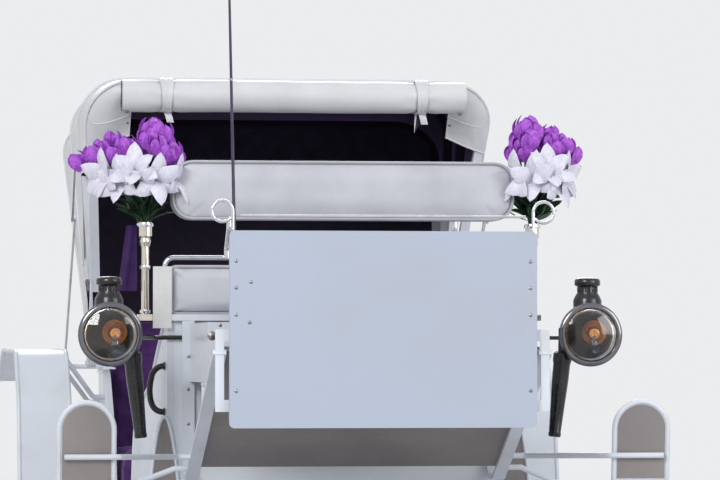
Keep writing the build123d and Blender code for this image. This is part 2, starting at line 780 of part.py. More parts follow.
with BuildPart() as rear_fenders:
    fender(FENDER_X, REAR_FENDER_WIDTH, REAR_FENDER_LINE, [45, 160, 200, 120, 200])
    for stay_y, body_z, fender_z in REAR_STAYS:
        start_x = body_half_width(KING_Y + stay_y) + REAR_STAY_SEAT
        bent_rod(
            [
                (start_x, KING_Y + stay_y, body_z),
                (start_x + STAY_RUN_OUT, KING_Y + stay_y, body_z),
                (FENDER_X - REAR_FENDER_WIDTH / 2 + 4, KING_Y + stay_y, fender_z),
            ],
            20,
            STAY_R,
        )
    both_sides()
rear_fenders.part.label = "rear_fenders"
export_step(rear_fenders.part, "parts/rear_fenders.step")

STEP_HANGER_KNEE_X = 640
STEP_HANGER_FOOT_X = FENDER_X - 68
with BuildPart() as steps:
    block(
        (FENDER_X - 90, FENDER_X + 80),
        (STEP_FRONT_Y + SEAT_GAP, STEP_REAR_Y - SEAT_GAP),
        (STEP_Z - STEP_THICKNESS / 2, STEP_Z + STEP_THICKNESS / 2),
    )
    for hanger_y in STEP_HANGERS:
        bent_rod(
            [
                (STEP_HANGER_X + SEAT_GAP, hanger_y, FLOOR_TOP - FLOOR_THICKNESS - SILL_HEIGHT / 2),
                (STEP_HANGER_KNEE_X, hanger_y, FLOOR_TOP - FLOOR_THICKNESS - SILL_HEIGHT / 2),
                (STEP_HANGER_FOOT_X, hanger_y, STEP_Z),
            ],
            30,
            11,
        )
    both_sides()
steps.part.label = "steps"
export_step(steps.part, "parts/steps.step")

# Driver's box
SEAT_STAY_Y = DRIVER_SEAT_FRONT_Y + 30
SEAT_STAY_FOOT_Z = 1205
FOOTBOARD_HALF = SIDE_BAR_X - SIDE_BAR_WIDTH / 2 + 6
DASH_IRONS = (1250, 1440)
with BuildPart() as driver_frame:
    bent_bar(
        [
            (SIDE_BAR_X, BODY_FRONT_Y - SEAT_GAP - SIDE_BAR_THICKNESS / 2, LEDGE_Z),
            (SIDE_BAR_X, BODY_FRONT_Y - SEAT_GAP - SIDE_BAR_THICKNESS / 2, SIDE_BAR_LOW_Z),
            (SIDE_BAR_X, BODY_FRONT_Y - 110, SIDE_BAR_LOW_Z),
            (SIDE_BAR_X, DASH_Y + DASH_THICKNESS / 2, 1395),
        ],
        [SIDE_BAR_BEND, 40],
        SIDE_BAR_WIDTH,
        SIDE_BAR_THICKNESS,
    )
    rod((SIDE_BAR_X, SEAT_STAY_Y, SEAT_STAY_FOOT_Z), (SIDE_BAR_X, SEAT_STAY_Y, DRIVER_BOX_BOTTOM - 4), 9)
    block((DRIVER_HALF - 20, SIDE_BAR_X + 9), (SEAT_STAY_Y - 15, SEAT_STAY_Y + 15),
          (DRIVER_BOX_BOTTOM - 8, DRIVER_BOX_BOTTOM - SEAT_GAP))
    both_sides()
    for iron_z in DASH_IRONS:
        block((-SIDE_BAR_X, SIDE_BAR_X), (DASH_Y + DASH_THICKNESS / 2, DASH_Y + DASH_THICKNESS / 2 + 7),
              (iron_z - 16, iron_z + 16))
    for sign in (1, -1):
        block(
            (sign * SIDE_BAR_X - 12, sign * SIDE_BAR_X + 12),
            (DASH_Y + DASH_THICKNESS / 2, DASH_Y + DASH_THICKNESS / 2 + 7),
            (DASH_IRONS[0] - 16, DASH_IRONS[1] + 16),
        )
    rod((WHIP_X, SOCKET_Y, SOCKET_LOW_Z), (WHIP_X, SOCKET_Y, SOCKET_HIGH_Z), SOCKET_R)
    rod(
        (WHIP_X, SOCKET_Y, SOCKET_LOW_Z + 10),
        (WHIP_X, SOCKET_Y, SOCKET_HIGH_Z + 1),
        SOCKET_R - 4,
        mode=Mode.SUBTRACT,
    )
driver_frame.part.label = "driver_frame"
export_step(driver_frame.part, "parts/driver_frame.step")

with BuildPart() as footboard:
    slope_top = (DASH_Y + DASH_THICKNESS / 2, 1395)
    slope_low = (BODY_FRONT_Y - 110, SIDE_BAR_LOW_Z)
    run = Vector(0, slope_low[0] - slope_top[0], slope_low[1] - slope_top[1]).normalized()
    up = Vector(0, -run.Z, run.Y)
    rise = SIDE_BAR_THICKNESS / 2 + SEAT_GAP
    board = 16
    corners = [
        Vector(0, *slope_top) + run * 8 + up * rise,
        Vector(0, *slope_low) - run * 60 + up * rise,
        Vector(0, *slope_low) - run * 60 + up * (rise + board),
        Vector(0, *slope_top) + run * 14 + up * (rise + board),
    ]
    side_plate(-FOOTBOARD_HALF, FOOTBOARD_HALF, [(c.Y, c.Z) for c in corners])
footboard.part.label = "footboard"
export_step(footboard.part, "parts/footboard.step")

with BuildPart() as driver_seat_box:
    block((-DRIVER_HALF, DRIVER_HALF), (DRIVER_SEAT_FRONT_Y, BODY_FRONT_Y - SIDE_BAR_THICKNESS - 2 * SEAT_GAP),
          (DRIVER_BOX_BOTTOM, DRIVER_BOARD_TOP))
driver_seat_box.part.label = "driver_seat_box"
export_step(driver_seat_box.part, "parts/driver_seat_box.step")

with BuildPart() as dash_board:
    block((-DASH_HALF, DASH_HALF), (DASH_Y - DASH_THICKNESS / 2, DASH_Y + DASH_THICKNESS / 2 - SEAT_GAP),
          (DASH_BOTTOM, DASH_TOP))
    fillet(dash_board.edges().filter_by(Axis.Y), radius=14)
dash_board.part.label = "dash_board"
export_step(dash_board.part, "parts/dash_board.step")

RAIL_LEG_X = DASH_HALF - 8
with BuildPart() as dash_rail:
    with BuildLine():
        leg = Line((RAIL_LEG_X, DASH_Y, DASH_TOP), (RAIL_LEG_X, DASH_Y, DASH_RAIL_Z + 12))
        loop_centre_x = RAIL_LEG_X + DASH_LOOP_R
        loop_centre_z = DASH_RAIL_Z + 12
        ThreePointArc(
            (RAIL_LEG_X, DASH_Y, loop_centre_z),
            (loop_centre_x, DASH_Y, loop_centre_z + DASH_LOOP_R),
            (loop_centre_x + DASH_LOOP_R, DASH_Y, loop_centre_z),
        )
        ThreePointArc(
            (loop_centre_x + DASH_LOOP_R, DASH_Y, loop_centre_z),
            (loop_centre_x + DASH_LOOP_R * 0.7071, DASH_Y, loop_centre_z - DASH_LOOP_R * 0.7071),
            (loop_centre_x, DASH_Y, loop_centre_z - DASH_LOOP_R),
        )
    with BuildSketch(Plane(origin=(RAIL_LEG_X, DASH_Y, DASH_TOP), z_dir=(0, 0, 1))):
        Circle(DASH_RAIL_R)
    sweep()
    both_sides()
    rod((-RAIL_LEG_X, DASH_Y, DASH_RAIL_Z), (RAIL_LEG_X, DASH_Y, DASH_RAIL_Z), DASH_RAIL_R - 1)
dash_rail.part.label = "dash_rail"
export_step(dash_rail.part, "parts/dash_rail.step")

BACK_Y = BODY_FRONT_Y - 40
with BuildPart() as driver_back:
    with BuildSketch(Plane.XZ.offset(-BACK_Y)):
        with Locations((0, (DRIVER_BACK_BOTTOM + DRIVER_BACK_TOP) / 2)):
            RectangleRounded(2 * DRIVER_BACK_HALF, DRIVER_BACK_TOP - DRIVER_BACK_BOTTOM, 55)
    extrude(amount=DRIVER_BACK_THICKNESS / 2, both=True)
driver_back.part.label = "driver_back"
export_step(driver_back.part, "parts/driver_back.step")

with BuildPart() as driver_cushion:
    block(
        (-DRIVER_CUSHION_HALF, DRIVER_CUSHION_HALF),
        (DRIVER_SEAT_FRONT_Y + 4, BODY_FRONT_Y - 20),
        (DRIVER_BOARD_TOP + SEAT_GAP, DRIVER_BOARD_TOP + DRIVER_CUSHION_HEIGHT),
    )
    fillet(driver_cushion.edges().group_by(Axis.Z)[-1], radius=26)
driver_cushion.part.label = "driver_cushion"
export_step(driver_cushion.part, "parts/driver_cushion.step")

# Padded outer panel on the ledge, with the seat rail and the posts of the driver's back
OUTER_PAD_TOP = 1645
SEAT_RAIL_Z = OUTER_PAD_TOP + 23
POST_X = 330
POST_BEND = 14
POST_KNEE = 26
with BuildPart() as outer_pad:
    block((-OUTER_PAD_HALF, OUTER_PAD_HALF), (BODY_FRONT_Y + 2, BODY_FRONT_Y + 36), (OUTER_PAD_BOTTOM + SEAT_GAP, OUTER_PAD_TOP))
outer_pad.part.label = "outer_pad"
export_step(outer_pad.part, "parts/outer_pad.step")

with BuildPart() as seat_rail:
    rail_y = BODY_FRONT_Y + 19
    bent_rod(
        [
            (-LEDGE_HALF + 10, rail_y, OUTER_PAD_BOTTOM),
            (-LEDGE_HALF + 10, rail_y, SEAT_RAIL_Z),
            (LEDGE_HALF - 10, rail_y, SEAT_RAIL_Z),
            (LEDGE_HALF - 10, rail_y, OUTER_PAD_BOTTOM),
        ],
        26,
        7,
    )
    for post_x in (-POST_X, POST_X):
        bent_rod(
            [
                (post_x, rail_y, SEAT_RAIL_Z),
                (post_x, rail_y, SEAT_RAIL_Z + POST_KNEE),
                (post_x, BACK_Y, DRIVER_BACK_BOTTOM - POST_KNEE),
                (post_x, BACK_Y, DRIVER_BACK_BOTTOM - SEAT_GAP),
            ],
            POST_BEND,
            8,
        )
seat_rail.part.label = "seat_rail"
export_step(seat_rail.part, "parts/seat_rail.step")

# Passenger cushions
CUSHION_HEIGHT = 110
SEAT_CUSHIONS = [
    # name, front y, rear y
    ("front_cushion", BODY_FRONT_Y + 100, FOOTWELL_FRONT_Y + 8),
    ("rear_cushion", FOOTWELL_REAR_Y - 2, KING_Y + 2080),
]
for name, y_low, y_high in SEAT_CUSHIONS:
    half = body_half_width(y_low if name == "front_cushion" else y_high) - PANEL - 4
    with BuildPart() as cushion:
        block((-half, half), (y_low, y_high), (DECK_TOP + SEAT_GAP, DECK_TOP + CUSHION_HEIGHT))
        fillet(cushion.edges().group_by(Axis.Z)[-1], radius=34)
    cushion.part.label = name
    export_step(cushion.part, "parts/" + name + ".step")

with BuildPart() as front_backrest:
    half = body_half_width(BODY_FRONT_Y + PANEL) - PANEL - 4
    side_plate(
        -half,
        half,
        [
            (BODY_FRONT_Y + PANEL + SEAT_GAP, DECK_TOP + SEAT_GAP),
            (BODY_FRONT_Y + 98, DECK_TOP + SEAT_GAP),
            (BODY_FRONT_Y + 92, LEDGE_Z - 12),
            (BODY_FRONT_Y + PANEL + SEAT_GAP, LEDGE_Z - SEAT_GAP),
        ],
    )
front_backrest.part.label = "front_backrest"
export_step(front_backrest.part, "parts/front_backrest.step")

with BuildPart() as rear_backrest:
    half = body_half_width(KING_Y + 2400) - PANEL - 4
    side_plate(
        -half,
        half,
        [
            (KING_Y + 2084, DECK_TOP + SEAT_GAP),
            (KING_Y + 2186, DECK_TOP + SEAT_GAP),
            (KING_Y + 2186, DECK_TOP + 1),
            (KING_Y + 2240, DECK_TOP + 60),
            (KING_Y + 2366, SIDE_TOP + 4),
            (KING_Y + 2380, 1470),
            (KING_Y + 2270, 1500),
            (KING_Y + 2200, 1420),
        ],
    )
rear_backrest.part.label = "rear_backrest"
export_step(rear_backrest.part, "parts/rear_backrest.step")

# Hood hinges on the arm rails: a foot plate, the hood's pivot pin and the props' pin
HINGE_X = 512
with BuildPart() as hood_hinges:
    block((HINGE_X, 552), (HOOD_PIVOT_Y - 30, PROP_FOOT_Y + 20), (SIDE_TOP, SIDE_TOP + 6))
    block((HINGE_X + 8, 552), (HOOD_PIVOT_Y - 12, HOOD_PIVOT_Y + 12), (SIDE_TOP, HOOD_PIVOT_Z + 8))
    block((HINGE_X + 8, 552), (PROP_FOOT_Y - 12, PROP_FOOT_Y + 12), (SIDE_TOP, PROP_FOOT_Z + 8))
    rod((540, HOOD_PIVOT_Y, HOOD_PIVOT_Z), (LANE_X + 4 * LANE_STEP + 2, HOOD_PIVOT_Y, HOOD_PIVOT_Z), HINGE_PIN_R)
    rod((540, PROP_FOOT_Y, PROP_FOOT_Z), (PROP_LANE_X + PROP_THICKNESS + 2, PROP_FOOT_Y, PROP_FOOT_Z), HINGE_PIN_R)
    both_sides()
hood_hinges.part.label = "hood_hinges"
export_step(hood_hinges.part, "parts/hood_hinges.step")


def bow_plane(angle):
    """The plane of a bow: X across the carriage, Y outwards from the pivot."""
    lean = math.radians(angle)
    out = Vector(0, math.sin(lean), math.cos(lean))
    return Plane(
        origin=(0, HOOD_PIVOT_Y, HOOD_PIVOT_Z), x_dir=(1, 0, 0), z_dir=Vector(1, 0, 0).cross(out)
    )


def leg_x(radius, distance):
    """Where a bow leg's outer face stands at a distance from the pivot."""
    share = (distance - BOW_LEG_FOOT_R) / (radius - BOW_LEG_FOOT_R)
    return BOW_FOOT_OUTER + share * (BOW_TOP_OUTER - BOW_FOOT_OUTER)


def hood_band(foot, start, top, high, corner, thickness):
    """A U from one foot over the top to the other, given by its outer faces."""
    with BuildSketch(mode=Mode.PRIVATE) as band:
        with BuildLine():
            outer = FilletPolyline((-foot, start), (-top, high), (top, high), (foot, start), radius=corner)
            inner = FilletPolyline(
                (thickness - foot, start),
                (thickness - top, high - thickness),
                (top - thickness, high - thickness),
                (foot - thickness, start),
                radius=corner - thickness,
            )
            Line(outer @ 0, inner @ 0)
            Line(outer @ 1, inner @ 1)
        make_face()
    return band.sketch


def bow_canvas(radius, start):
    """The section of the canvas beside a bow, which covers it down to start."""
    return hood_band(
        leg_x(radius, start) + CANVAS,
        start,
        BOW_TOP_OUTER + CANVAS,
        radius + CANVAS,
        BOW_CORNER_R + CANVAS,
        CANVAS,
    )


for name, angle, radius, cover, lane in BOWS:
    lane_x = LANE_X + lane * LANE_STEP
    with BuildPart() as bow:
        with BuildSketch(bow_plane(angle).offset(-BOW_DEPTH / 2)):
            add(
                hood_band(
                    BOW_FOOT_OUTER, BOW_LEG_FOOT_R, BOW_TOP_OUTER, radius, BOW_CORNER_R, BOW_THICKNESS
                )
            )
        extrude(amount=BOW_DEPTH)
        for sign in (1, -1):
            iron_x = sign * (lane_x + IRON_THICKNESS / 2)
            with Locations(Location((iron_x, HOOD_PIVOT_Y, HOOD_PIVOT_Z), (-angle, 0, 0))):
                Box(
                    IRON_THICKNESS,
                    IRON_WIDTH,
                    BOW_LEG_FOOT_R + 50,
                    align=(Align.CENTER, Align.CENTER, Align.MIN),
                )
            rod(
                (iron_x - IRON_THICKNESS / 2, HOOD_PIVOT_Y, HOOD_PIVOT_Z),
                (iron_x + IRON_THICKNESS / 2, HOOD_PIVOT_Y, HOOD_PIVOT_Z),
                IRON_WIDTH / 2 + 3,
            )
        rod((-700, HOOD_PIVOT_Y, HOOD_PIVOT_Z), (700, HOOD_PIVOT_Y, HOOD_PIVOT_Z), HINGE_PIN_R + RUNNING,
            mode=Mode.SUBTRACT)
        if name == "bow_front":
            stud = bow_plane(angle).origin + bow_plane(angle).y_dir * PROP_TOP_RADIUS
            for sign in (1, -1):
                rod(
                    (sign * STUD_ROOT_X, stud.Y, stud.Z),
                    (sign * (PROP_LANE_X + PROP_THICKNESS + PROP_GAP - SEAT_GAP), stud.Y, stud.Z),
                    PROP_PIN_R,
                )
    bow.part.label = name
    export_step(bow.part, "parts/" + name + ".step")

# Canvas between each pair of bows, and the curtain from the rear bow down to the body
for (name, angle, radius, cover, _), (_, next_angle, next_radius, next_cover, _) in zip(BOWS, BOWS[1:]):
    with BuildPart() as canvas:
        with BuildSketch(bow_plane(angle).offset(-BOW_DEPTH / 2 - CANVAS_GAP)):
            add(bow_canvas(radius, cover))
        with BuildSketch(bow_plane(next_angle).offset(BOW_DEPTH / 2 + CANVAS_GAP)):
            add(bow_canvas(next_radius, next_cover))
        loft(ruled=True)
    canvas_name = name.replace("bow", "canvas")
    canvas.part.label = canvas_name
    export_step(canvas.part, "parts/" + canvas_name + ".step")

_, rear_angle, rear_radius, rear_cover, _ = BOWS[-1]
with BuildPart() as back_curtain:
    with BuildSketch(bow_plane(rear_angle).offset(-BOW_DEPTH / 2 - CANVAS_GAP)):
        add(bow_canvas(rear_radius, rear_cover))
    with BuildSketch(bow_plane(CURTAIN_FOOT_DEG)):
        add(hood_band(CURTAIN_FOOT_HALF, 200, CURTAIN_FOOT_HALF, CURTAIN_FOOT_REACH, 60, CANVAS))
    loft(ruled=True)
back_curtain.part.label = "back_curtain"
export_step(back_curtain.part, "parts/back_curtain.step")

# Front of the hood: the rolled-up front curtain and the two corner pieces
front_name, front_angle, front_radius, _, _ = BOWS[0]
front_face = bow_plane(front_angle).offset(BOW_DEPTH / 2 + SEAT_GAP)
ROLL_CENTRE_R = front_radius - 14
CORNER_LOW_R = 850
CORNER_INNER_RISE = 14
CORNER_INNER_HALF = 507
with BuildPart() as front_curtain:
    roll_centre = front_face.offset(ROLL_R).origin + front_face.y_dir * ROLL_CENTRE_R
    rod((-ROLL_HALF, roll_centre.Y, roll_centre.Z), (ROLL_HALF, roll_centre.Y, roll_centre.Z), ROLL_R)
    corner_top = front_radius + CANVAS
    with BuildSketch(front_face):
        with BuildLine():
            FilletPolyline(
                (leg_x(front_radius, CORNER_LOW_R) + CANVAS, CORNER_LOW_R),
                (BOW_TOP_OUTER + CANVAS, corner_top),
                (CORNER_INNER_HALF, corner_top),
                (CORNER_INNER_HALF, CORNER_LOW_R + CORNER_INNER_RISE),
                radius=[0, BOW_CORNER_R - 60, 0, 0],
                close=True,
            )
        make_face()
    extrude(amount=CANVAS)
    both_sides()
front_curtain.part.label = "front_curtain"
export_step(front_curtain.part, "parts/front_curtain.step")

# Hood props: a lower arm on the body and an upper arm that reaches to the front bow's stud
KNEE = (HOOD_PIVOT_Y - 300, PROP_KNEE_Z)
STUD = (
    HOOD_PIVOT_Y + PROP_TOP_RADIUS * math.sin(math.radians(front_angle)),
    HOOD_PIVOT_Z + PROP_TOP_RADIUS * math.cos(math.radians(front_angle)),
)


def flat_arm(x, start, end, bore):
    """A flat arm in a plane across X with an eye at start and a round end."""
    with BuildPart(mode=Mode.PRIVATE) as arm:
        with BuildSketch(Plane.YZ.offset(x)):
            SlotCenterPoint(((start[0] + end[0]) / 2, (start[1] + end[1]) / 2), end, PROP_WIDTH)
            with Locations(start):
                Circle(bore + RUNNING, mode=Mode.SUBTRACT)
        extrude(amount=PROP_THICKNESS)
    add(arm.part)


with BuildPart() as prop_lower:
    flat_arm(PROP_LANE_X, (PROP_FOOT_Y, PROP_FOOT_Z), KNEE, HINGE_PIN_R)
    rod(
        (PROP_LANE_X + PROP_THICKNESS / 2, *KNEE),
        (PROP_LANE_X + 2 * PROP_THICKNESS + 2 * PROP_GAP, *KNEE),
        PROP_PIN_R,
    )
    both_sides()
prop_lower.part.label = "prop_lower"
export_step(prop_lower.part, "parts/prop_lower.step")

with BuildPart() as prop_upper:
    flat_arm(PROP_LANE_X + PROP_THICKNESS + PROP_GAP, KNEE, STUD, PROP_PIN_R)
    both_sides()
prop_upper.part.label = "prop_upper"
export_step(prop_upper.part, "parts/prop_upper.step")

# Lamps: a drum with a chimney and a tail tube, a chromed bezel and a domed glass
LAMP_FRONT_Y = LAMP_Y - LAMP_DEPTH / 2
with BuildPart() as lamp_bodies:
    with BuildSketch(Plane(origin=(LAMP_X, LAMP_FRONT_Y, LAMP_Z), x_dir=(1, 0, 0), z_dir=(0, 0, 1))):
        with BuildLine():
            FilletPolyline(
                (0, 12),
                (LAMP_R - 14, 12),
                (LAMP_R - 14, LAMP_DEPTH - 46),
                (44, LAMP_DEPTH - 4),
                (0, LAMP_DEPTH),
                radius=[0, 0, 18, 20, 0],
                close=True,
            )
        make_face()
    revolve(axis=Axis((LAMP_X, LAMP_FRONT_Y, LAMP_Z), (0, 1, 0)))
    with BuildSketch(Plane(origin=(LAMP_X, LAMP_Y - 8, LAMP_Z), x_dir=(1, 0, 0), z_dir=(0, -1, 0))):
        with BuildLine():
            Polyline(
                (0, 60), (40, 60), (40, LAMP_R + 8), (28, LAMP_R + 32), (28, LAMP_R + 46),
                (36, LAMP_R + 50), (36, LAMP_R + 64), (30, LAMP_R + 70), (0, LAMP_R + 73), close=True,
            )
        make_face()
    revolve(axis=Axis((LAMP_X, LAMP_Y - 8, LAMP_Z), (0, 0, 1)))
    with Locations(Location((LAMP_STEM_X, LAMP_Y + 14, LAMP_Z - 55), (180, -STEM_LEAN, 0))):
        Cone(27, 17, 240, align=(Align.CENTER, Align.CENTER, Align.MIN))
    bent_rod(
        [
            (SIDE_BAR_X + SIDE_BAR_WIDTH / 2 + SEAT_GAP, BODY_FRONT_Y - 8, LAMP_Z - 8),
            (545, BODY_FRONT_Y - 8, LAMP_Z - 8),
            (LAMP_STEM_X + 10, LAMP_Y + 14, LAMP_Z - 8),
        ],
        28,
        LAMP_ARM_R,
    )
    both_sides()
lamp_bodies.part.label = "lamp_bodies"
export_step(lamp_bodies.part, "parts/lamp_bodies.step")

with BuildPart() as lamp_rims:
    with BuildSketch(Plane(origin=(LAMP_X, LAMP_FRONT_Y, LAMP_Z), x_dir=(1, 0, 0), z_dir=(0, 0, 1))):
        with BuildLine():
            FilletPolyline(
                (LAMP_R - 18, -6),
                (LAMP_R - 6, -10),
                (LAMP_R, 0),
                (LAMP_R, 12 - SEAT_GAP),
                (LAMP_R - 18, 12 - SEAT_GAP),
                radius=[0, 3, 4, 2, 0],
                close=True,
            )
        make_face()
    revolve(axis=Axis((LAMP_X, LAMP_FRONT_Y, LAMP_Z), (0, 1, 0)))
    both_sides()
lamp_rims.part.label = "lamp_rims"
export_step(lamp_rims.part, "parts/lamp_rims.step")

with BuildPart() as lamp_glasses:
    glass_r = LAMP_R - 18 - SEAT_GAP
    with BuildSketch(Plane(origin=(LAMP_X, LAMP_FRONT_Y, LAMP_Z), x_dir=(1, 0, 0), z_dir=(0, 0, 1))):
        with BuildLine():
            dome = ThreePointArc((0, -16), (glass_r * 0.7, -10), (glass_r, 2))
            Polyline(dome @ 1, (glass_r, 6), (0, 6), dome @ 0)
        make_face()
    revolve(axis=Axis((LAMP_X, LAMP_FRONT_Y, LAMP_Z), (0, 1, 0)))
    both_sides()
lamp_glasses.part.label = "lamp_glasses"
export_step(lamp_glasses.part, "parts/lamp_glasses.step")

# Flower holders on brackets at the ledge's ends, and the bouquets in them
FLOWER_Y = BODY_FRONT_Y + 12
with BuildPart() as flower_holders:
    block((LEDGE_HALF + SEAT_GAP, FLOWER_X + 22), (FLOWER_Y - 20, FLOWER_Y + 20), (LEDGE_Z, OUTER_PAD_BOTTOM))
    rod((FLOWER_X, FLOWER_Y, OUTER_PAD_BOTTOM - 2), (FLOWER_X, FLOWER_Y, FLOWER_CUP_Z - 50), FLOWER_POLE_R)
    with BuildSketch(Plane(origin=(FLOWER_X, FLOWER_Y, FLOWER_CUP_Z - 70), x_dir=(1, 0, 0), z_dir=(0, -1, 0))):
        with BuildLine():
            Polyline((0, 0), (13, 0), (17, 14), (15, 24), (20, 30), (20, 70), (17, 70), (17, 40), (0, 40), close=True)
        make_face()
    revolve(axis=Axis((FLOWER_X, FLOWER_Y, 0), (0, 0, 1)))
    both_sides()
flower_holders.part.label = "flower_holders"
export_step(flower_holders.part, "parts/flower_holders.step")

BOUQUETS = [
    # name, side, lean outwards, radius of the head, top of the head
    ("right", -1, 62, 122, 2030),
    ("left", 1, 44, 104, 2060),
]
with BuildPart() as bouquets:
    for name, sign, lean, head_r, head_top in BOUQUETS:
        foot_z = FLOWER_CUP_Z - 30 + SEAT_GAP
        head_z = head_top - head_r * 0.75
        sections = [
            # lean outwards, height, radius
            (0, foot_z, 15),
            (0, foot_z + 34, 15.5),
            (lean, head_z - 40, head_r * 0.9),
            (lean, head_z + 10, head_r),
            (lean, head_top - 30, head_r * 0.75),
            (lean, head_top, head_r * 0.4),
        ]
        for section_lean, section_z, section_r in sections:
            with BuildSketch(Plane(origin=(sign * (FLOWER_X + section_lean), FLOWER_Y, section_z))):
                Circle(section_r)
        loft(ruled=True)
bouquets.part.label = "bouquets"
export_step(bouquets.part, "parts/bouquets.step")

# Whip in its socket behind the right end of the dash
with BuildPart() as whip:
    with Locations((WHIP_X, SOCKET_Y, SOCKET_LOW_Z + 10 + SEAT_GAP)):
        Cone(SOCKET_R - 4 - SEAT_GAP, 2.5, WHIP_LENGTH, align=(Align.CENTER, Align.CENTER, Align.MIN))
whip.part.label = "whip"
export_step(whip.part, "parts/whip.step")

# Blank plate ahead of the right bracket, and the grab handles
PLATE_SIZE = (54, 178)
with BuildPart() as plate:
    block(
        (-LEDGE_HALF - 28, -LEDGE_HALF - 28 + PLATE_SIZE[0]),
        (BODY_FRONT_Y - 16 - SEAT_GAP - 3, BODY_FRONT_Y - 16 - SEAT_GAP),
        (OUTER_PAD_BOTTOM - 40, OUTER_PAD_BOTTOM - 40 + PLATE_SIZE[1]),
    )
plate.part.label = "plate"
export_step(plate.part, "parts/plate.step")

HANDLE_Y = BODY_FRONT_Y + 40
HANDLE_SEAT = 1.2
HANDLE_REACH = 44
HANDLE_HIGH_Z = 1355
HANDLE_LOW_Z = 1222
with BuildPart() as grab_handles:
    face_x = body_half_width(HANDLE_Y)
    bent_rod(
        [
            (face_x + HANDLE_SEAT, HANDLE_Y, HANDLE_HIGH_Z),
            (face_x + HANDLE_REACH, HANDLE_Y, HANDLE_HIGH_Z),
            (face_x + HANDLE_REACH, HANDLE_Y, HANDLE_LOW_Z),
            (face_x + HANDLE_SEAT, HANDLE_Y, HANDLE_LOW_Z),
        ],
        22,
        9,
    )
    both_sides()
grab_handles.part.label = "grab_handles"
export_step(grab_handles.part, "parts/grab_handles.step")
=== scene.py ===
import math
import random
from functools import cache

import bmesh
import bpy
from mathutils import Matrix, Vector, noise


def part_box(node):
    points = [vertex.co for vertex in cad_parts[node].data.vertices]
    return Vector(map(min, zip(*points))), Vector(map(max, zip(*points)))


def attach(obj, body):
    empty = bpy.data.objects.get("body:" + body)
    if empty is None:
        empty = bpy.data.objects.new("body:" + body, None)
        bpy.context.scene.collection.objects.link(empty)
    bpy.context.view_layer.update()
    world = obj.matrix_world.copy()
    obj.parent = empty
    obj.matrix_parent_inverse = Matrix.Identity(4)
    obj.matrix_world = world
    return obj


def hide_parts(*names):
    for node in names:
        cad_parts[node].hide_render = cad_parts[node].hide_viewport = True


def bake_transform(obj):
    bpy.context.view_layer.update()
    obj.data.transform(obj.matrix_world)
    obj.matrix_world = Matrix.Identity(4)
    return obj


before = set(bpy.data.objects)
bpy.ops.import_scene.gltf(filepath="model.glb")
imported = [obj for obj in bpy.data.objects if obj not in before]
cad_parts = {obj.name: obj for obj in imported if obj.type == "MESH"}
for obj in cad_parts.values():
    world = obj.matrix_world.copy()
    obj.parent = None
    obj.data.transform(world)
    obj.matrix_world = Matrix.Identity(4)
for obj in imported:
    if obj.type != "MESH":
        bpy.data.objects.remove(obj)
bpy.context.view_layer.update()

bl_info = {
    "name": "Horse Drawn Carriage",
    "version": (1, 0, 0),
    "blender": (4, 5, 0),
    "location": "View3D > Sidebar > Carriage",
    "description": "Dresses the carriage's frame with its coachwork, trimming, lamps, wheels and flowers",
    "category": "Object",
}


def middle(node_name):
    """The centre of a CAD node's box."""
    low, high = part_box(node_name)
    return (low + high) / 2


# Places that several pieces share, in metres: -Y is forwards, +X the carriage's own left

WHEELBASE = 2.0
KING_Y = middle("front_axle").y
BODY_FRONT = KING_Y + 0.3
PIVOT_Y = KING_Y + WHEELBASE
PIVOT_Z = 1.362
HOLDER_X, HOLDER_Y = 0.568, KING_Y + 0.312
ORIGIN = (0, 0, 0)
FORWARDS, BACKWARDS, UPWARDS = (0, -1, 0), (0, 1, 0), (0, 0, 1)


# Sizes and colours a user would change

def measure(name, description, default):
    """A length that the panel shows."""
    return bpy.props.FloatProperty(name=name, description=description, default=default, unit="LENGTH")


def colour(name, description, *default):
    """A colour that the panel shows."""
    return bpy.props.FloatVectorProperty(
        name=name, description=description, default=default, size=3, min=0, max=1, subtype="COLOR")


class CarriageSizes(bpy.types.PropertyGroup):
    """Sizes of the trimming."""

    tuft: measure("Tuft spacing", "Distance between the buttons of the seats", 0.125)
    puff: measure("Tuft height", "How far the seats swell between buttons", 0.016)
    piping: measure("Piping radius", "Radius of the cord sewn into the seams", 0.0042)
    sag: measure("Hood sag", "How far the hood drops between two bows", 0.014)
    roll_pitch: measure("Roll pitch", "Distance between the turns of the rolled curtain", 0.0095)
    tulip: measure("Tulip height", "Height of one tulip head", 0.058)
    lily: measure("Lily petal", "Length of one lily petal", 0.086)


class CarriageColours(bpy.types.PropertyGroup):
    """Colours of the finishes."""

    coach: colour("Coach white", "Paint of the body", 0.66, 0.69, 0.75)
    # The dash's white paint is made darker and bluer here as painted shade.
    board: colour("Board white in painted shade", "Paint of the dash", 0.40, 0.45, 0.55)
    iron: colour("Iron white", "Paint of the ironwork", 0.66, 0.70, 0.77)
    # The driver's seat vinyl is a pale cream, darkened and blued here as painted shade.
    ivory: colour("Ivory vinyl", "Cover of the driver's seat", 0.53, 0.54, 0.59)
    hood: colour("Hood white", "Outside of the hood", 0.68, 0.69, 0.71)
    lining: colour("Hood lining", "Inside of the hood", 0.012, 0.008, 0.022)
    velvet: colour("Seat purple", "Cover of the passengers' seats", 0.045, 0.012, 0.085)
    tulip: colour("Tulip", "Tulip petals", 0.27, 0.050, 0.42)
    lily: colour("Lily", "Lily petals", 0.74, 0.73, 0.84)
    leaf: colour("Leaf", "Leaves and stems", 0.010, 0.035, 0.014)


def sizes():
    """The sizes as the panel has them."""
    return bpy.context.scene.carriage_sizes


def colours():
    """The colours as the panel has them."""
    return bpy.context.scene.carriage_colours


# Modelling helpers

def clear():
    """Leaves edit mode and selects nothing."""
    if bpy.context.object and bpy.context.object.mode != "OBJECT":
        bpy.ops.object.mode_set(mode="OBJECT")
    bpy.ops.object.select_all(action="DESELECT")


def only(obj):
    """Selects one object and makes it the active one."""
    clear()
    obj.select_set(True)
    bpy.context.view_layer.objects.active = obj


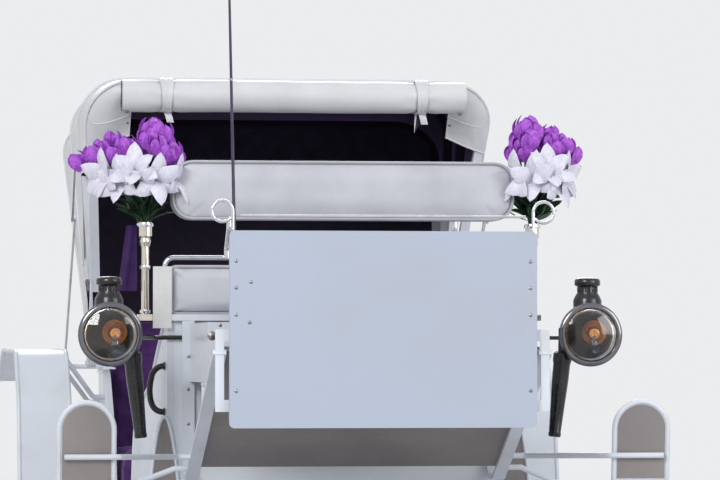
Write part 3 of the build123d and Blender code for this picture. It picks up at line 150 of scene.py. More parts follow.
def started(name):
    """Names the new primitive and puts its place into its mesh."""
    obj = bpy.context.object
    obj.name = name
    obj.data.name = name
    only(obj)
    bpy.ops.object.transform_apply(location=True, rotation=True, scale=True)
    return obj


def start_box(name, low, high):
    """A box between two corners."""
    clear()
    low, high = Vector(low), Vector(high)
    bpy.ops.mesh.primitive_cube_add(size=1, location=(low + high) / 2)
    bpy.context.object.scale = high - low
    return started(name)


def start_drum(name, foot, top, radius, top_radius=None, sides=24):
    """A round bar or cone from foot to top."""
    clear()
    foot, top = Vector(foot), Vector(top)
    run = top - foot
    bpy.ops.mesh.primitive_cone_add(
        vertices=sides, radius1=radius, radius2=radius if top_radius is None else top_radius,
        depth=run.length, location=(foot + top) / 2, rotation=run.to_track_quat("Z", "Y").to_euler())
    return started(name)


def start_grid(name, columns, rows, place):
    """A grid whose points go where place(across, along) says, both from 0 to 1."""
    clear()
    bpy.ops.mesh.primitive_grid_add(x_subdivisions=columns, y_subdivisions=rows, size=1)
    obj = started(name)
    for point in obj.data.vertices:
        point.co = place(point.co.x + 0.5, point.co.y + 0.5)
    return obj


def start_line(name, points, cyclic=False, radius=0.0, resolution=2):
    """A line of straight runs, made a mesh; with a radius it is a round bar."""
    clear()
    bpy.ops.curve.primitive_nurbs_path_add()
    curve = bpy.context.object.data
    curve.splines.clear()
    spline = curve.splines.new("POLY")
    spline.points.add(len(points) - 1)
    for slot, point in zip(spline.points, points):
        slot.co = (*point, 1)
    spline.use_cyclic_u = cyclic
    curve.bevel_depth = radius
    curve.bevel_resolution = resolution
    curve.use_fill_caps = not cyclic
    bpy.ops.object.convert(target="MESH")
    return started(name)


def pick(obj, wanted, kind="faces"):
    """Enters edit mode with only the wanted faces or edges selected."""
    only(obj)
    bpy.ops.object.mode_set(mode="EDIT")
    bpy.ops.mesh.select_mode(type="FACE" if kind == "faces" else "EDGE")
    bpy.ops.mesh.select_all(action="DESELECT")
    mesh = bmesh.from_edit_mesh(obj.data)
    for part in getattr(mesh, kind):
        if wanted(part):
            part.select_set(True)
    mesh.select_flush_mode()
    bmesh.update_edit_mesh(obj.data)


def upright(edge):
    """Whether an edge runs up from one end to the other."""
    return abs(edge.verts[0].co.z - edge.verts[1].co.z) > 0.01


def outwards():
    """Turns all faces of the mesh in edit mode outwards and leaves edit mode."""
    bpy.ops.mesh.select_all(action="SELECT")
    bpy.ops.mesh.normals_make_consistent(inside=False)
    clear()


def start_plate(name, outline, depth):
    """A flat plate with a closed outline, deep along +Y."""
    obj = start_line(name, outline, cyclic=True)
    pick(obj, lambda edge: True, "edges")
    bpy.ops.mesh.edge_face_add()
    bpy.ops.mesh.extrude_region_move(TRANSFORM_OT_translate={"value": (0, depth, 0)})
    outwards()
    return obj


def modified(obj, kind, **settings):
    """Adds a modifier and applies it."""
    only(obj)
    bpy.ops.object.modifier_add(type=kind)
    modifier = obj.modifiers[-1]
    for key, value in settings.items():
        setattr(modifier, key, value)
    bpy.ops.object.modifier_apply(modifier=modifier.name)
    return obj


def thickened(obj, thickness):
    """Gives a sheet its thickness, half to each side."""
    return modified(obj, "SOLIDIFY", thickness=thickness, offset=0)


def bevelled(obj, width, segments=2):
    """Rounds every sharp edge."""
    return modified(obj, "BEVEL", width=width, segments=segments, limit_method="ANGLE", angle_limit=0.6)


def turned(name, profile, centre, axis, steps=32):
    """A turned piece: (radius, height) points spun about an axis through centre."""
    axis = Vector(axis).normalized()
    side = axis.orthogonal().normalized()
    centre = Vector(centre)
    obj = start_line(name, [centre + side * radius + axis * height for radius, height in profile])
    pick(obj, lambda edge: True, "edges")
    bpy.ops.mesh.spin(steps=steps, angle=2 * math.pi, center=centre, axis=axis)
    bpy.ops.mesh.select_all(action="SELECT")
    bpy.ops.mesh.remove_doubles(threshold=1e-5)
    outwards()
    return obj


def copies(name, obj, places):
    """One piece made of copies of a modelled one, each with its own mesh."""
    made = []
    for place in places:
        copy = obj.copy()
        copy.data = obj.data.copy()
        copy.data.transform(place)
        bpy.context.scene.collection.objects.link(copy)
        made.append(copy)
    bpy.data.objects.remove(obj)
    return joined(name, made)


def joined(name, parts):
    """Several meshes made one piece."""
    clear()
    for part in parts:
        part.select_set(True)
    bpy.context.view_layer.objects.active = parts[0]
    if len(parts) > 1:
        bpy.ops.object.join()
    parts[0].name = name
    parts[0].data.name = name
    return parts[0]


def smooth(obj, angle=40):
    """Shades soft faces smooth and keeps sharp edges."""
    only(obj)
    bpy.ops.object.shade_smooth_by_angle(angle=math.radians(angle))
    return obj


def done(obj, body, slot, finish_name=None, stands_for=(), angle=40):
    """Gives a finished piece its finish and, where body is a name, its body; the slot is not used."""
    smooth(obj, angle)
    if finish_name:
        obj.data.materials.clear()
        obj.data.materials.append(finish(finish_name))
    if stands_for:
        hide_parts(*stands_for)
    if isinstance(body, str):
        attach(obj, body)
    else:
        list(body)
        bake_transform(obj)
    return obj


def facing(direction):
    """The turn that points a piece's +Z along a direction."""
    return Vector(direction).to_track_quat("Z", "Y").to_matrix().to_4x4()


def mirrored(place, sign):
    """A place at the carriage's own left, or its like at the right where sign is -1."""
    x, y, z = place
    return Vector((sign * x, y, z))


def rounded(points, radii, step=0.25):
    """The points of a line with its inner corners rounded."""
    points = [Vector(p) for p in points]
    made = [points[0]]
    for before, corner, after, radius in zip(points, points[1:], points[2:], radii):
        back, ahead = (before - corner).normalized(), (after - corner).normalized()
        half = back.angle(ahead) / 2
        if radius <= 0 or half > math.pi / 2 - 0.02:
            made.append(corner)
            continue
        reach = radius / math.tan(half)
        middle_way = (back + ahead).normalized()
        centre = corner + middle_way * (radius / math.sin(half))
        first, last = corner + back * reach - centre, corner + ahead * reach - centre
        turn = first.angle(last)
        count = max(2, math.ceil(turn / step))
        for index in range(count + 1):
            share = index / count
            place = first * math.sin((1 - share) * turn) + last * math.sin(share * turn)
            made.append(centre + place / math.sin(turn))
    made.append(points[-1])
    return made


def ring_line(half_x, half_z, corner, centre, steps=6):
    """A closed rounded rectangle across Y."""
    made = []
    for turn, (sign_x, sign_z) in enumerate(((1, 1), (-1, 1), (-1, -1), (1, -1))):
        for index in range(steps + 1):
            angle = math.pi / 2 * (turn + index / steps)
            made.append(Vector((
                centre[0] + sign_x * (half_x - corner) + corner * math.cos(angle),
                centre[1],
                centre[2] + sign_z * (half_z - corner) + corner * math.sin(angle))))
    return made


# Shader helpers

def fed(tree, made, inputs):
    """A shader node with its inputs linked or set."""
    for key, value in inputs.items():
        if isinstance(value, bpy.types.NodeSocket):
            tree.links.new(value, made.inputs[key])
        else:
            made.inputs[key].default_value = value
    return made


def node(tree, kind, inputs=None, **settings):
    """A new shader node."""
    made = tree.nodes.new("ShaderNode" + kind)
    for key, value in settings.items():
        setattr(made, key, value)
    return fed(tree, made, inputs or {})


def ramp(tree, value, low, high, to_low=0.0, to_high=1.0):
    """The value stretched from one range to another."""
    return node(tree, "MapRange", {
        "Value": value, "From Min": low, "From Max": high, "To Min": to_low, "To Max": to_high}).outputs[0]


def sums(tree, operation, first, second):
    """What an operation makes of two values."""
    return node(tree, "Math", {0: first, 1: second}, operation=operation).outputs[0]


def mixed(tree, share, first, second):
    """A colour between two colours."""
    return node(tree, "Mix", {0: share, 6: first, 7: second}, data_type="RGBA").outputs[2]


def clouds(tree, place, scale, detail, **inputs):
    """The shade of a noise pattern."""
    return node(tree, "TexNoise", {"Vector": place, "Scale": scale, "Detail": detail, **inputs}).outputs[0]


def rgba(values):
    """A colour with its alpha."""
    return (values[0], values[1], values[2], 1.0)


def times(values, share):
    """A colour made darker or lighter."""
    return [min(1, value * share) for value in values]


def group(name, inputs, outputs):
    """A new shader group with its sockets."""
    tree = bpy.data.node_groups.new(name, "ShaderNodeTree")
    for label, kind, default in inputs:
        socket = tree.interface.new_socket(name=label, in_out="INPUT", socket_type="NodeSocket" + kind)
        if default is not None:
            socket.default_value = default
    for label, kind in outputs:
        tree.interface.new_socket(name=label, in_out="OUTPUT", socket_type="NodeSocket" + kind)
    return tree, tree.nodes.new("NodeGroupInput").outputs, tree.nodes.new("NodeGroupOutput").inputs


@cache
def scuffed_paint():
    """Brushed coach paint with grime, chips and a faint orange peel."""
    tree, given, out = group(
        "Scuffed paint",
        [("Place", "Vector", None), ("Colour", "Color", None), ("Grime", "Color", None),
         ("Amount", "Float", 0.3), ("Scale", "Float", 3.0), ("Roughness", "Float", 0.35)],
        [("Colour", "Color"), ("Roughness", "Float"), ("Height", "Float")])
    broad = clouds(tree, given["Place"], given["Scale"], 7.0)
    fine = clouds(tree, given["Place"], sums(tree, "MULTIPLY", given["Scale"], 14.0), 4.0)
    chips = clouds(tree, given["Place"], sums(tree, "MULTIPLY", given["Scale"], 7.0), 9.0, Roughness=0.7)
    dirt = sums(tree, "MULTIPLY", ramp(tree, broad, 0.45, 0.78), given["Amount"])
    spot = sums(tree, "MULTIPLY", ramp(tree, chips, 0.68, 0.72), given["Amount"])
    share = sums(tree, "MINIMUM", sums(tree, "ADD", dirt, spot), 0.9)
    tree.links.new(mixed(tree, share, given["Colour"], given["Grime"]), out["Colour"])
    shine = sums(tree, "ADD", given["Roughness"], ramp(tree, fine, 0.3, 0.7, -0.05, 0.12))
    tree.links.new(sums(tree, "ADD", shine, sums(tree, "MULTIPLY", share, 0.25)), out["Roughness"])
    tree.links.new(sums(tree, "SUBTRACT", sums(tree, "MULTIPLY", fine, 0.4), spot), out["Height"])
    return tree


@cache
def hide_grain():
    """The pebbled grain of coach vinyl and leather."""
    tree, given, out = group(
        "Hide grain", [("Place", "Vector", None), ("Scale", "Float", 240.0)],
        [("Mask", "Float"), ("Height", "Float")])
    pebbles = node(tree, "TexVoronoi", {"Vector": given["Place"], "Scale": given["Scale"]}).outputs[0]
    mask = ramp(tree, clouds(tree, given["Place"], 9.0, 5.0), 0.35, 0.7)
    tree.links.new(mask, out["Mask"])
    tree.links.new(sums(tree, "ADD", sums(tree, "MULTIPLY", pebbles, 0.35), mask), out["Height"])
    return tree


DUST_COLOUR = (0.30, 0.25, 0.19)
DUST_AT_GROUND = 0.55


@cache
def road_dust():
    """Dust that settles low down and thins out upwards."""
    tree, given, out = group(
        "Road dust", [("Place", "Vector", None), ("Colour", "Color", None), ("Top", "Float", 1.0)],
        [("Colour", "Color"), ("Mask", "Float")])
    height = node(tree, "SeparateXYZ", {0: given["Place"]}).outputs[2]
    fade = ramp(tree, height, 0.0, given["Top"], DUST_AT_GROUND, 0.0)
    mask = sums(tree, "MULTIPLY", fade, ramp(tree, clouds(tree, given["Place"], 6.0, 8.0), 0.3, 0.75))
    tree.links.new(mask, out["Mask"])
    tree.links.new(mixed(tree, mask, given["Colour"], rgba(DUST_COLOUR)), out["Colour"])
    return tree


def blank(name):
    """A material, its tree, its shader and the object's own coordinates."""
    material = bpy.data.materials.new(name)
    material.use_nodes = True
    tree = material.node_tree
    place = tree.nodes.new("ShaderNodeTexCoord").outputs["Object"]
    return material, tree, tree.nodes["Principled BSDF"], place


def placed(tree, made_group, **inputs):
    """The outputs of a group placed in a material."""
    return node(tree, "Group", inputs, node_tree=made_group).outputs


def bumped(tree, shader, height, strength, distance):
    """Leads a height to the shader's normal."""
    bump = node(tree, "Bump", {"Height": height, "Strength": strength, "Distance": distance})
    tree.links.new(bump.outputs[0], shader.inputs["Normal"])


# Finishes

PAINT_GRIME = (0.36, 0.34, 0.30)
LEATHER_GRIME = (0.20, 0.15, 0.11)
RUBBER_GRIME = (0.16, 0.14, 0.12)
SLEEVE_HALF, SLEEVE_FOOT = 0.572, 1.97


def paint(name, base, rough=0.32, grime=0.22, scale=3.0, coat=0.35, dust=1.1, dirt=PAINT_GRIME):
    """Coach paint on wood or iron."""
    material, tree, shader, place = blank(name)
    scuffs = placed(tree, scuffed_paint(), Place=place, Colour=rgba(base), Grime=rgba(dirt),
                    Amount=grime, Scale=scale, Roughness=rough)
    dusty = placed(tree, road_dust(), Place=place, Colour=scuffs["Colour"], Top=dust)
    rougher = sums(tree, "ADD", scuffs["Roughness"], sums(tree, "MULTIPLY", dusty["Mask"], 0.4))
    fed(tree, shader, {
        "Base Color": dusty["Colour"], "Roughness": rougher, "Coat Weight": coat, "Coat Roughness": 0.12})
    bumped(tree, shader, scuffs["Height"], 0.12, 0.0006)
    return material


def bright_metal(name, base, rough=0.08, grime=0.35, scale=22.0):
    """Plated or polished metal with fingered, pitted patches."""
    material, tree, shader, place = blank(name)
    scuffs = placed(tree, scuffed_paint(), Place=place, Colour=rgba(base), Grime=rgba(times(base, 0.35)),
                    Amount=grime, Scale=scale, Roughness=rough)
    fed(tree, shader, {"Base Color": scuffs["Colour"], "Roughness": scuffs["Roughness"], "Metallic": 1.0})
    bumped(tree, shader, scuffs["Height"], 0.06, 0.0004)
    return material


def vinyl(name, base, grain=240.0, rough=0.42, shade=0.86, coat=0.15):
    """Coated cloth with a pebbled grain and soft creases."""
    material, tree, shader, place = blank(name)
    grained = placed(tree, hide_grain(), Place=place, Scale=grain)
    fed(tree, shader, {
        "Base Color": mixed(tree, grained["Mask"], rgba(base), rgba(times(base, shade))),
        "Roughness": ramp(tree, grained["Mask"], 0, 1, rough, rough + 0.14),
        "Coat Weight": coat, "Coat Roughness": 0.3})
    bumped(tree, shader, grained["Height"], 0.25, 0.0012)
    return material


def velvet(name, base):
    """Deep pile cloth that lightens along its edges."""
    material, tree, shader, place = blank(name)
    crush = ramp(tree, clouds(tree, place, 24.0, 6.0), 0.35, 0.75, 0.0, 0.6)
    fed(tree, shader, {
        "Base Color": mixed(tree, crush, rgba(base), rgba(times(base, 2.4))), "Roughness": 0.9,
        "Sheen Weight": 0.7, "Sheen Roughness": 0.35, "Sheen Tint": (0.55, 0.35, 0.8, 1)})
    bumped(tree, shader, clouds(tree, place, 900.0, 2.0), 0.35, 0.0008)
    return material


def petal_cloth(name, base, rim, rough=0.55, through=0.12):
    """Silk petals with fine veins, paler or darker at the rims."""
    material, tree, shader, place = blank(name)
    veins = clouds(tree, place, 90.0, 5.0, Distortion=1.2)
    fed(tree, shader, {
        "Base Color": mixed(tree, ramp(tree, veins, 0.35, 0.7), rgba(base), rgba(rim)), "Roughness": rough,
        "Subsurface Weight": through, "Subsurface Radius": (0.006, 0.004, 0.006)})
    bumped(tree, shader, veins, 0.3, 0.0008)
    return material


def rubber(name, base, rough=0.75):
    """Worn rubber greyed by road dust."""
    material, tree, shader, place = blank(name)
    scuffs = placed(tree, scuffed_paint(), Place=place, Colour=rgba(base), Grime=rgba(RUBBER_GRIME),
                    Amount=0.5, Scale=9.0, Roughness=rough)
    dusty = placed(tree, road_dust(), Place=place, Colour=scuffs["Colour"], Top=1.3)
    fed(tree, shader, {"Base Color": dusty["Colour"], "Roughness": scuffs["Roughness"]})
    bumped(tree, shader, scuffs["Height"], 0.3, 0.001)
    return material


def sleeved(name, base, lining):
    """Painted bow legs whose span over the top is sleeved in the hood's lining."""
    material, tree, shader, place = blank(name)
    scuffs = placed(tree, scuffed_paint(), Place=place, Colour=rgba(base), Grime=rgba(LEATHER_GRIME),
                    Amount=0.5, Scale=8.0, Roughness=0.4)
    across, _, height = node(tree, "SeparateXYZ", {0: place}).outputs
    inside = sums(tree, "LESS_THAN", sums(tree, "ABSOLUTE", across, 0.0), SLEEVE_HALF)
    inside = sums(tree, "MAXIMUM", inside, sums(tree, "GREATER_THAN", height, SLEEVE_FOOT))
    fed(tree, shader, {
        "Base Color": mixed(tree, inside, scuffs["Colour"], rgba(lining)),
        "Roughness": sums(tree, "MAXIMUM", scuffs["Roughness"], inside)})
    bumped(tree, shader, scuffs["Height"], 0.2, 0.0008)
    return material


def glass(name, base=(0.95, 0.97, 0.98), rough=0.03):
    """Clear lamp glass with faint smears."""
    material, tree, shader, place = blank(name)
    smears = ramp(tree, clouds(tree, place, 18.0, 6.0), 0.4, 0.8, rough, rough + 0.12)
    fed(tree, shader, {
        "Base Color": rgba(base), "Roughness": smears, "Transmission Weight": 1.0, "IOR": 1.45})
    return material


BLACK_GRIME = (0.06, 0.055, 0.05)
FINISHES = {
    "coach": lambda c: paint("Coach paint", c.coach),
    # The dash's paint carries painted shade in its darker, bluer colour.
    "board": lambda c: paint("Board paint", c.board, rough=0.42, grime=0.3, scale=2.2, coat=0.1),
    "iron": lambda c: paint("Iron paint", c.iron, rough=0.36, grime=0.35, scale=6.0, coat=0.2),
    # Dark grey-beige painted shade: the footboard's underside and the front corners' hollows are painted
    # shade, and the front fenders' ends are partly their own darker colour and partly painted shade.
    "painted_shade_grey": lambda c: paint("Shaded primer", (0.22, 0.20, 0.20), rough=0.6, grime=0.4, scale=5.0, coat=0.0),
    "ash": lambda c: paint("Painted ash", c.coach, rough=0.34, grime=0.3, scale=8.0, coat=0.3),
    "black": lambda c: paint("Black enamel", (0.005, 0.005, 0.007), rough=0.20, grime=0.25, scale=14.0,
                             coat=0.15, dust=0.2, dirt=BLACK_GRIME),
    "plate": lambda c: paint("Plate enamel", (0.66, 0.66, 0.66), rough=0.25, grime=0.2, scale=12.0,
                             coat=0.4),
    "chrome": lambda c: bright_metal("Chrome", (0.72, 0.73, 0.76)),
    # Chrome whose dark base colour is a painted reflection of dark surroundings; inside the lamps it is also
    # painted shade.
    "bezel": lambda c: bright_metal("Dark chrome", (0.20, 0.20, 0.22), rough=0.12),
    # Chrome whose warm tint is a painted reflection of warm surroundings.
    "brass": lambda c: bright_metal("Pale brass", (0.76, 0.70, 0.61), rough=0.07),
    "gilt": lambda c: bright_metal("Gilt dish", (0.62, 0.40, 0.16), rough=0.16, grime=0.7, scale=60.0),
    "steel": lambda c: bright_metal("Worn steel", (0.30, 0.29, 0.28), rough=0.35, grime=0.6),
    # The seat vinyl's colour carries painted shade; the piping takes it and is made darker still.
    "ivory": lambda c: vinyl("Ivory vinyl", c.ivory),
    "piping": lambda c: vinyl("Piping vinyl", times(c.ivory, 0.8), grain=500.0),
    "hood": lambda c: vinyl("Hood vinyl", c.hood, grain=420.0, rough=0.38, shade=0.9),
    "lining": lambda c: velvet("Hood lining", c.lining),
    "velvet": lambda c: velvet("Seat velvet", c.velvet),
    # The ribbon's purple is its own dark colour, made darker still as painted shade.
    "ribbon": lambda c: velvet("Satin ribbon", (0.026, 0.006, 0.060)),
    "tulip": lambda c: petal_cloth("Tulip silk", c.tulip, [min(1, v * 1.9 + 0.05) for v in c.tulip]),
    "lily": lambda c: petal_cloth("Lily silk", c.lily, times(c.lily, 0.82)),
    "leaf": lambda c: petal_cloth("Leaf cloth", c.leaf, times(c.leaf, 2.2), rough=0.45),
    "whip": lambda c: vinyl("Whip braid", (0.030, 0.012, 0.055), grain=300.0, rough=0.35),
    "tyre": lambda c: rubber("Tyre rubber", (0.020, 0.020, 0.020)),
    "mat": lambda c: rubber("Floor mat", (0.030, 0.029, 0.030), rough=0.8),
    "tread": lambda c: rubber("Step tread", (0.045, 0.045, 0.046), rough=0.7),
    "glass": lambda c: glass("Lamp glass"),
    # Bright orange pieces in the lamps that stand in for glints: a painted glint.
    "amber": lambda c: paint("Amber lens", (0.95, 0.36, 0.03), rough=0.1, grime=0.1, scale=40.0, coat=1.0,
                             dust=0.01),
    "sleeved": lambda c: sleeved("Sleeved ash", c.coach, c.lining),
}


@cache
def finish(name):
    """The material of a finish, made once."""
    return FINISHES[name](colours())


NODE_FINISHES = {
    "coach": "side_left side_right front_seat_box rear_seat_box front_wall rear_wall driver_seat_box",
    "board": "dash_board",
    "iron": "underframe rear_axle turntable_upper front_fenders rear_fenders driver_frame hood_hinges"
            " fore_carriage front_axle rear_springs front_springs",
    # The footboard's underside is painted in the dark grey of painted shade.
    "painted_shade_grey": "footboard",
    "sleeved": "bow_two bow_three bow_rear",
    "ash": "shafts swingletree bow_front wheel_front_left wheel_front_right"
           " wheel_rear_left wheel_rear_right",
    "black": "grab_handles lamp_bodies",
    "plate": "plate",
    "chrome": "dash_rail seat_rail lamp_rims prop_lower prop_upper",
    # The flower holders' warm tint is a painted reflection.
    "brass": "flower_holders",
    "glass": "lamp_glasses",
    "tread": "steps",
    "mat": "floor_pan",
    "whip": "whip",
    "ivory": "driver_back driver_cushion outer_pad",
    "velvet": "front_cushion rear_cushion front_backrest rear_backrest",
    "hood": "canvas_front canvas_two canvas_three back_curtain front_curtain",
    "tulip": "bouquets",
    "tyre": "tyre_front_left tyre_front_right tyre_rear_left tyre_rear_right",
}


class PaintFrame(bpy.types.Operator):
    """Finish the CAD nodes that stay in view"""

    bl_idname = "carriage.paint_frame"
    bl_label = "Paint the frame"

    def execute(self, context):
        for finish_name, nodes in NODE_FINISHES.items():
            for node_name in nodes.split():
                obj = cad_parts[node_name]
                obj.data.materials.clear()
                obj.data.materials.append(finish(finish_name))
                smooth(obj, 35)
        clear()
        return {"FINISHED"}


# Hood

BOWS = {
    # degrees behind upright, reach of the top from the pivot, lowest reach that the hood covers
    "bow_front": (-33.0, 1.060, 0.763),
    "bow_two": (-8.0, 0.930, 0.620),
    "bow_three": (14.0, 0.930, 0.330),
    "bow_rear": (34.0, 1.000, 0.130),
}
PANELS = {
    "canvas_front": ("bow_front", "bow_two"),
    "canvas_two": ("bow_two", "bow_three"),
    "canvas_three": ("bow_three", "bow_rear"),
}
LEG_FOOT, FOOT_X, TOP_X, CORNER = 0.280, 0.604, 0.652, 0.150
LEG_SHARE, CORNER_SHARE = 0.5, 0.72
CLOTH_OUT = 0.0028
CLOTH_THICKNESS = 0.0022
CLOTH_ANGLE = 60
BINDING_RADIUS, BINDING_OUT, BINDING_RUNS = 0.0042, 0.0045, 96
PANEL_LENGTH_REACH = 0.87
BLEND_REACH = 0.8
CURTAIN_SAG = 0.004
CURTAIN_FOOT_ANGLE = 92.4
CURTAIN_FOOT_HALF, CURTAIN_FOOT_REACH, CURTAIN_FOOT_CORNER = 0.548, 0.426, 0.060
CURTAIN_BLEND = [(40, BLEND_REACH), (88, 0.45)]


def on_plane(angle, x, reach, ahead=0.0):
    """A point in a bow's plane, or ahead of it."""
    lean = math.radians(angle)
    return Vector((
        x,
        PIVOT_Y + reach * math.sin(lean) - ahead * math.cos(lean),
        PIVOT_Z + reach * math.cos(lean) + ahead * math.sin(lean)))


def bow_outline(radius, start, share, out=CLOTH_OUT, corner=CORNER, foot_x=FOOT_X, foot=LEG_FOOT,
                top_x=TOP_X):
    """(x, reach) on a bow's outer face, from the +X foot at 0 over the top to the -X foot at 1."""
    mirror = 1 if share <= 0.5 else -1
    share = min(share, 1 - share) * 2
    run, lean = radius - foot, top_x - foot_x
    length = math.hypot(run, lean)
    at = (radius - corner - foot - corner * lean / length) / run
    centre_x = foot_x + lean * at - corner * run / length
    low = (start - foot) / run
    if share < LEG_SHARE:
        part = low + (at - low) * share / LEG_SHARE
        x, reach = foot_x + lean * part, foot + run * part
        out_x, out_reach = run / length, -lean / length
    elif share < CORNER_SHARE:
        first = math.atan2(-lean, run)
        angle = first + (math.pi / 2 - first) * (share - LEG_SHARE) / (CORNER_SHARE - LEG_SHARE)
        out_x, out_reach = math.cos(angle), math.sin(angle)
        x, reach = centre_x + corner * out_x, radius - corner + corner * out_reach
    else:
        x, reach = centre_x * (1 - (share - CORNER_SHARE) / (1 - CORNER_SHARE)), radius
        out_x, out_reach = 0.0, 1.0
    return mirror * (x + out * out_x), reach + out * out_reach


def on_bow(name, share, out=CLOTH_OUT):
    """A point on a bow's outer face."""
    angle, radius, start = BOWS[name]
    return on_plane(angle, *bow_outline(radius, start, share, out))


def curtain_foot(share):
    """Where the back curtain meets the body, behind the rear seat."""
    return on_plane(CURTAIN_FOOT_ANGLE, *bow_outline(
        CURTAIN_FOOT_REACH, 0.2, share, corner=CURTAIN_FOOT_CORNER, foot_x=CURTAIN_FOOT_HALF, foot=0.1,
        top_x=CURTAIN_FOOT_HALF + 0.0001))


def cloth_between(name, near, far_place, sag, columns=96, rows=14):
    """A sheet from a bow to where far_place(share) says, that drops a little on its way."""
    seed = BOWS[near][0]

    def place(across, along):
        share = 1 - across
        point = on_bow(near, share).lerp(far_place(share), along)
        over = 1 - abs(2 * share - 1) ** 3
        inward = Vector((-point.x * 0.5, 0, PIVOT_Z - point.z)).normalized()
        ripple = noise.noise(Vector((share * 9, along * 2.2, seed))) * 0.35
        drop = sag * math.sin(math.pi * along) * (0.35 + 0.65 * over + ripple)
        return point + inward * max(drop, 0.0)
    return start_grid(name, columns, rows, place)


def lined(obj, thickness=CLOTH_THICKNESS):
    """Gives a sheet its thickness with the lining on its inner side."""
    obj.data.materials.clear()
    obj.data.materials.append(finish("hood"))
    obj.data.materials.append(finish("lining"))
    return modified(obj, "SOLIDIFY", thickness=thickness, offset=-1, material_offset=1,
                    material_offset_rim=0, use_even_offset=True)


class BuildHood(bpy.types.Operator):
    """Stretch the hood over its bows"""

    bl_idname = "carriage.build_hood"
    bl_label = "Hood"

    def execute(self, context):
        for name, (near, far) in PANELS.items():
            sheet = lined(cloth_between(
                name + "_cloth", near, lambda share, far=far: on_bow(far, share), sizes().sag))
            middle_near, middle_far = (on_plane(BOWS[bow][0], 0, BLEND_REACH) for bow in (near, far))
            done(sheet, (far, near, middle_far, middle_near), "hood_vinyl", None, [name], CLOTH_ANGLE)
            self.flat(near, far)
        rear = lined(cloth_between("back_curtain_cloth", "bow_rear", curtain_foot, CURTAIN_SAG))
        ends = [on_plane(angle, 0, reach) for angle, reach in CURTAIN_BLEND]
        done(rear, ("bow_rear", "root", *ends), "hood_vinyl", None, ["back_curtain"], CLOTH_ANGLE)
        for name in BOWS:
            line = [on_bow(name, index / BINDING_RUNS, BINDING_OUT) for index in range(BINDING_RUNS + 1)]
            binding = start_line(name + "_binding", line, radius=BINDING_RADIUS)
            done(binding, name, "hood_vinyl", "hood", angle=CLOTH_ANGLE)
        return {"FINISHED"}

    def flat(self, near, far):
        """The width over the bows and the length between them."""
        (angle0, radius0, start0), (angle1, radius1, start1) = BOWS[near], BOWS[far]
        width = radius0 - start0 + radius1 - start1 + 2 * TOP_X
        turn = math.radians(angle1 - angle0)
        return width, turn * (radius0 + radius1) / 2 * PANEL_LENGTH_REACH


# Front curtain, rolled up ahead of the front bow

BOW_HALF_DEPTH = 0.011
ROLL_HALF, ROLL_CORE, ROLL_RADIUS = 0.545, 0.012, 0.0578
ROLL_AHEAD = BOW_HALF_DEPTH + 0.0003 + 0.053
ROLL_REACH = BOWS["bow_front"][1] - 0.014
ROLL_THICKNESS = 0.0016
ROLL_END_TURN = 2.4
STRAPS_X = (-0.405, 0.405)
STRAP_WIDTH, STRAP_THICKNESS = 0.030, 0.002
STRAP_PINCH, PINCH_WIDTH = 0.13, 0.026
STUD_PROFILE = [(0, 0.004), (0.004, 0.0035), (0.007, 0)]
STUDS = [
    # half distance apart, down from the roll's middle, ahead of it
    (0.530, 0.036, 0.044), (0.518, 0.130, -0.048),
]
TAB_WIDTH, TAB_LENGTH, TAB_THICKNESS, TAB_SLANT = 0.022, 0.034, 0.0022, 0.010
CORNER_FOOT, CORNER_SPAN, CORNER_OUT, CORNER_THICKNESS = 0.808, 0.405, 0.003, 0.0018
FLAP_X, FLAP_FOOT, FLAP_RISE = 0.507, 0.868, 0.192
FLAP_AHEAD, FLAP_FULLNESS, FLAP_CREASE = 0.0118, 0.026, 0.0035
SEAM_RADIUS, SEAM_RUNS = 0.0024, 24
SEAM_ROUTES = [
    # across and along the corner piece: over its middle, along its foot and down its inner edge
    lambda t: (t, 0.66 - 0.24 * t), lambda t: (t, 0.02), lambda t: (0.98, t),
]


def by_front_bow(x, reach, ahead):
    """A point beside the front bow."""
    return on_plane(BOWS["bow_front"][0], x, reach, ahead)


def by_roll(x, turn, radius):
    """A point round the rolled curtain's middle."""
    return by_front_bow(x, ROLL_REACH + radius * math.sin(turn), ROLL_AHEAD + radius * math.cos(turn))


def pinched(x):
    """How much narrower the rolled curtain is where a strap ties it."""
    return sum(STRAP_PINCH * math.exp(-((x - at) / PINCH_WIDTH) ** 2) for at in STRAPS_X)


